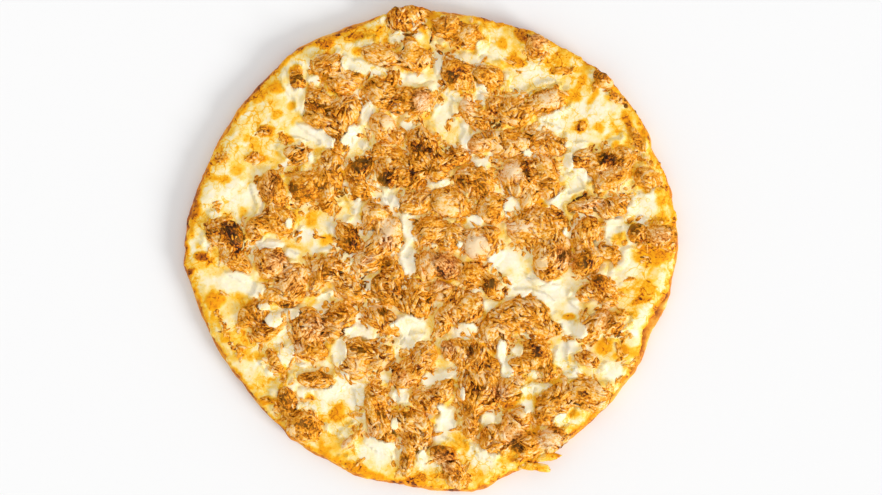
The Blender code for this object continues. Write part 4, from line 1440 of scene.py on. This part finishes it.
LAYERS = (
    Layer(CHUNK, 5.2 * MM, 2.4 * MM, 0.62, 1.00),
    Layer(STRIP, 4.0 * MM, 0.8 * MM, 0.84, 1.20),
    Layer(NUGGET, 5.0 * MM, 0.8 * MM, 0.82, 1.08),
    Layer(BIT, 3.4 * MM, 0.5 * MM, 0.85, 1.20),
)


@dataclass
class TunaHeap:
    """One heap of tuna: a core of the solid's form, with the layers of flakes laid over it.

    Sunk is the share of its thickness by which a flake sinks in, and stray how far its heading may
    leave the fibres' direction.
    """

    name: str
    number: int
    survey: Survey
    directions: Chart
    rim: Chart
    tints: Tints
    cream: Chart
    core_inset: float = 2.4 * MM
    dive: float = 2.6 * MM
    sunk: float = 0.4
    stray: float = 0.42
    slab_level: float = 1.1

    def build(self, material: bpy.types.Material) -> bpy.types.Object:
        """Gathers the core and the flakes into one piece that stands for the heap's node."""
        survey = self.survey
        rng = np.random.default_rng(900 + self.number)
        shade = rng.uniform(-0.10, 0.10)
        shape = Shape()
        self.add_core(shape)
        bed = self.bed()
        for flakes, level in self.layers(rng, bed.heap):
            laid = flakes.lay(bed, level, self.sunk)
            laid.tone = laid.tone + shade
            shape.add(laid.points(), laid.faces, laid.tuna_values(survey.seat, self.tints))
        obj = shape.build(self.name + "_flaked", material)
        finish_piece(obj, [self.name])
        return obj

    def bed(self) -> Bed:
        """This heap alone, softened, on level ground."""
        survey = self.survey
        mine = survey.owner == self.number
        heap = survey.tuna.with_values(np.where(mine, survey.tuna.values - survey.seat, 0.0))
        ground = survey.tuna.with_values(np.full(mine.shape, survey.seat - 0.4 * MM))
        return Bed(ground, heap.blurred(1.3 * MM), self.rim, CAD_BOX[1][2] + 0.2 * MM, self.dive)

    def layers(self, rng: np.random.Generator, heap: Chart) -> list[tuple[Flakes, Array]]:
        """Draws the scattered flakes of each layer, then takes the slabs read from the photograph.

        Args:
            rng: The heap's own random numbers.
            heap: How high the heap stands.

        Returns:
            For each layer its flakes and the share of the heap under each of them.
        """
        layers = []
        for layer in LAYERS:
            rows, columns = np.nonzero(heap.values > layer.stand)
            x, y = clear_places(rng, rows, columns, heap, layer.gap)
            open_to_view = self.cream.at(x, y) < 0.5
            x, y = x[open_to_view], y[open_to_view]
            heading = self.directions.at(x, y) + rng.normal(0, self.stray, len(x))
            level = rng.uniform(layer.low, layer.high, len(x))
            layers.append((Flakes(layer.cut, rng, x, y, heading), level))
        slabs = tuple(slab for slab in SLABS if self.owns(slab))
        if slabs:
            layers.append((Flakes.of_slabs(CHUNK, rng, slabs), np.full(len(slabs), self.slab_level)))
        return layers

    def owns(self, slab: Slab) -> bool:
        """Whether a slab's middle lies on this heap."""
        survey = self.survey
        row = round((slab.y * MM + survey.half) / survey.cell)
        column = round(((slab.x + LAYOUT_SHIFT) * MM + survey.half) / survey.cell)
        return survey.owner[row, column] == self.number

    def add_core(self, shape: Shape) -> None:
        """Adds the solid's own form, merged, roughened and drawn in under the flakes, and coloured dark as
        painted shade in the gaps between them.
        """
        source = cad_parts[self.name].data
        copy = source.copy()
        obj = bpy.data.objects.new("core", copy)
        bpy.context.scene.collection.objects.link(obj)
        weld = obj.modifiers.new("weld", "WELD")
        weld.merge_threshold = 0.01 * MM
        graph = bpy.context.evaluated_depsgraph_get()
        mesh = bpy.data.meshes.new_from_object(obj.evaluated_get(graph))
        points = np.zeros(len(mesh.vertices) * 3, np.float32)
        normals = np.zeros(len(mesh.vertices) * 3, np.float32)
        mesh.vertices.foreach_get("co", points)
        mesh.vertices.foreach_get("normal", normals)
        corners = np.zeros(len(mesh.loops), np.int32)
        mesh.loops.foreach_get("vertex_index", corners)
        points, normals = points.reshape(-1, 3).astype(float), normals.reshape(-1, 3)
        x, y = points[:, 0], points[:, 1]
        points = points + normals * (0.35 * MM * mottle(x, y, 3 * MM, 71) - self.core_inset)[:, None]
        values = {
            "grain": np.stack([x / MM, y / MM, np.full(len(x), float(self.number))], axis=-1),
            # Painted shade: the core is coloured dark where it shows between flakes, and rise darkens its
            # low places.
            "tone": 0.70 + self.tints.shade.at(x, y),
            "blush": self.tints.blush.at(x, y),
            "rise": smooth_step(points[:, 2] - self.survey.seat, 0.0, 8 * MM),
        }
        shape.add(points, [corners.reshape(-1, 3)], values)
        bpy.data.objects.remove(obj)
        bpy.data.meshes.remove(mesh)
        bpy.data.meshes.remove(copy)


@dataclass
class Crumbs:
    """Loose bits, nuggets and strips of tuna pressed into the cheese between the heaps.

    The gaps lie between flakes of one cut, and sunk and stray are as in a heap.
    """

    survey: Survey
    directions: Chart
    cheese: Cheese
    rim: Chart
    tints: Tints
    bit_gap: float = 2.2 * MM
    nugget_gap: float = 3.4 * MM
    strip_gap: float = 7.0 * MM
    sunk: float = 0.2
    stray: float = 0.8

    def build(self, material: bpy.types.Material) -> bpy.types.Object:
        """Lays the slivers, and scatters the other cuts over the cells where crumbs may lie."""
        survey = self.survey
        rng = np.random.default_rng(77)
        rows, columns = np.nonzero(self.wanted(rng))
        no_heap = survey.cheese.with_values(np.zeros_like(survey.cheese.values))
        bed = Bed(self.cheese.relief, no_heap, self.rim, CAD_BOX[1][2], 0.0)
        layers = [Flakes.of_slabs(NUGGET, rng, SLIVERS)]
        for cut, gap in ((STRIP, self.strip_gap), (NUGGET, self.nugget_gap), (BIT, self.bit_gap)):
            x, y = clear_places(rng, rows, columns, survey.cheese, gap)
            heading = self.directions.at(x, y) + rng.normal(0, self.stray, len(x))
            layers.append(Flakes(cut, rng, x, y, heading))
        shape = Shape()
        for flakes in layers:
            laid = flakes.lay(bed, np.zeros(len(flakes.x)), self.sunk)
            shape.add(laid.points(), laid.faces, laid.tuna_values(survey.seat - 3 * MM, self.tints))
        obj = shape.build("tuna_crumbs", material)
        finish_piece(obj, [])
        return obj

    def wanted(self, rng: np.random.Generator) -> Array:
        """Marks the cells where crumbs may lie.

        They lie where the solid's fused flakes stand, and by chance near heaps, where a noise is high,
        towards the pizza's middle and outside the cream pools, but never on a heap or at the rim.

        Args:
            rng: The random numbers.

        Returns:
            True or False for each cell.
        """
        survey = self.survey
        x, y = survey.plane()
        out = np.hypot(x, y)
        chance = 0.8 * smooth_step(survey.round_tuna.values, 0.12, 0.50)
        chance = chance * smooth_step(mottle(x, y, 7 * MM, 81), -0.20, 0.40)
        chance = chance * (0.40 + 0.60 * (1 - smooth_step(out, 60 * MM, 120 * MM)))
        chance = chance * (1 - smooth_step(self.cheese.cream.values, 0.1, 0.5))
        wanted = (chance > rng.uniform(0, 1, chance.shape)) | self.cheese.crumbed
        return wanted & (survey.owner < 0) & (self.rim.values > 1.5 * MM)


def fibre_directions(survey: Survey) -> Chart:
    """Which way the fibres run at each cell: along the heap, turned by a slow noise.

    The products of the heights' slopes are blurred widely, and the direction across the steepest one
    is half the angle of their difference and their mixed product, turned by a quarter turn.

    Args:
        survey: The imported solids.

    Returns:
        A chart of angles.
    """
    tops = survey.tuna.with_values(np.maximum(survey.tuna.values - survey.seat, 0)).blurred(1.5 * MM)
    slope_y, slope_x = np.gradient(tops.values)
    xx = survey.tuna.with_values(slope_x * slope_x).blurred(8 * MM).values
    yy = survey.tuna.with_values(slope_y * slope_y).blurred(8 * MM).values
    xy = survey.tuna.with_values(slope_x * slope_y).blurred(8 * MM).values
    x, y = survey.plane()
    slow = 1.2 * mottle(x, y, 14 * MM, 95, 2)
    return survey.tuna.with_values(0.5 * np.arctan2(2 * xy, xx - yy) + math.pi / 2 + slow)


def inside_rim(survey: Survey, cheese: Cheese) -> Chart:
    """A chart of how far inside the cheese's edge each cell lies."""
    x, y = survey.plane()
    return survey.cheese.with_values(cheese.rim(np.arctan2(y, x)) - np.hypot(x, y))


# The studio


@dataclass
class Studio:
    """A pale floor, a soft key light from the near right and white light all round.

    The camera's scale is metres to a pixel at the level aim, and origin is the pixel over the middle.
    """

    scale: float = 0.612 * MM
    frame_width: int = 882
    frame_height: int = 495
    origin_column: float = 430.7
    origin_row: float = 248.0
    lens: float = 85.0
    sensor: float = 36.0
    key_from: tuple[float, float, float] = (0.86, -0.62, 0.50)
    key_strength: float = 2.2
    key_angle: float = 20.0
    sky: float = 0.83
    aim: float = 12.0 * MM
    floor_half: float = 1.6

    def build(self) -> None:
        """Places the camera straight above, the lights and the floor."""
        scene = bpy.context.scene
        distance = self.frame_width * self.scale * self.lens / self.sensor
        camera = bpy.data.cameras.new("camera")
        camera.lens, camera.sensor_width = self.lens, self.sensor
        eye = bpy.data.objects.new("camera", camera)
        eye.location = (
            (self.frame_width / 2 - self.origin_column) * self.scale,
            (self.origin_row - self.frame_height / 2) * self.scale,
            distance + self.aim,
        )
        scene.collection.objects.link(eye)
        scene.camera = eye
        key = bpy.data.lights.new("key", "SUN")
        key.energy, key.angle = self.key_strength, math.radians(self.key_angle)
        lamp = bpy.data.objects.new("key", key)
        lamp.rotation_euler = (-Vector(self.key_from)).to_track_quat("-Z", "Y").to_euler()
        scene.collection.objects.link(lamp)
        world = bpy.data.worlds.new("studio")
        world.use_nodes = True
        light = world.node_tree.nodes["Background"]
        light.inputs["Color"].default_value = (1.0, 1.0, 1.0, 1.0)
        light.inputs["Strength"].default_value = self.sky
        scene.world = world
        scene.view_settings.view_transform = "Standard"
        self.floor()

    def floor(self) -> None:
        """A flat square that the pizza lies on."""
        half = self.floor_half
        mesh = bpy.data.meshes.new("floor")
        corners = [(-half, -half, 0.0), (half, -half, 0.0), (half, half, 0.0), (-half, half, 0.0)]
        mesh.from_pydata(corners, [], [(0, 1, 2, 3)])
        mesh.materials.append(FloorFinish().build())
        ground = bpy.data.objects.new("floor", mesh)
        bpy.context.scene.collection.objects.link(ground)


def main() -> None:
    """Builds every piece in order, and the studio round them."""
    logging.basicConfig(level=logging.INFO, format="%(name)s %(message)s")
    survey = Survey()
    Crust(survey).build(CrustFinish().build())
    cheese = Cheese(survey)
    cheese.build(CheeseFinish().build())
    rim = inside_rim(survey, cheese)
    tuna = TunaFinish().build()
    directions = fibre_directions(survey)
    tints = Tints.charted(survey)
    for number, name in enumerate(survey.names):
        TunaHeap(name, number, survey, directions, rim, tints, cheese.cream).build(tuna)
    Crumbs(survey, directions, cheese, rim, tints).build(tuna)
    Studio().build()


if __name__ == "__main__":
    main()
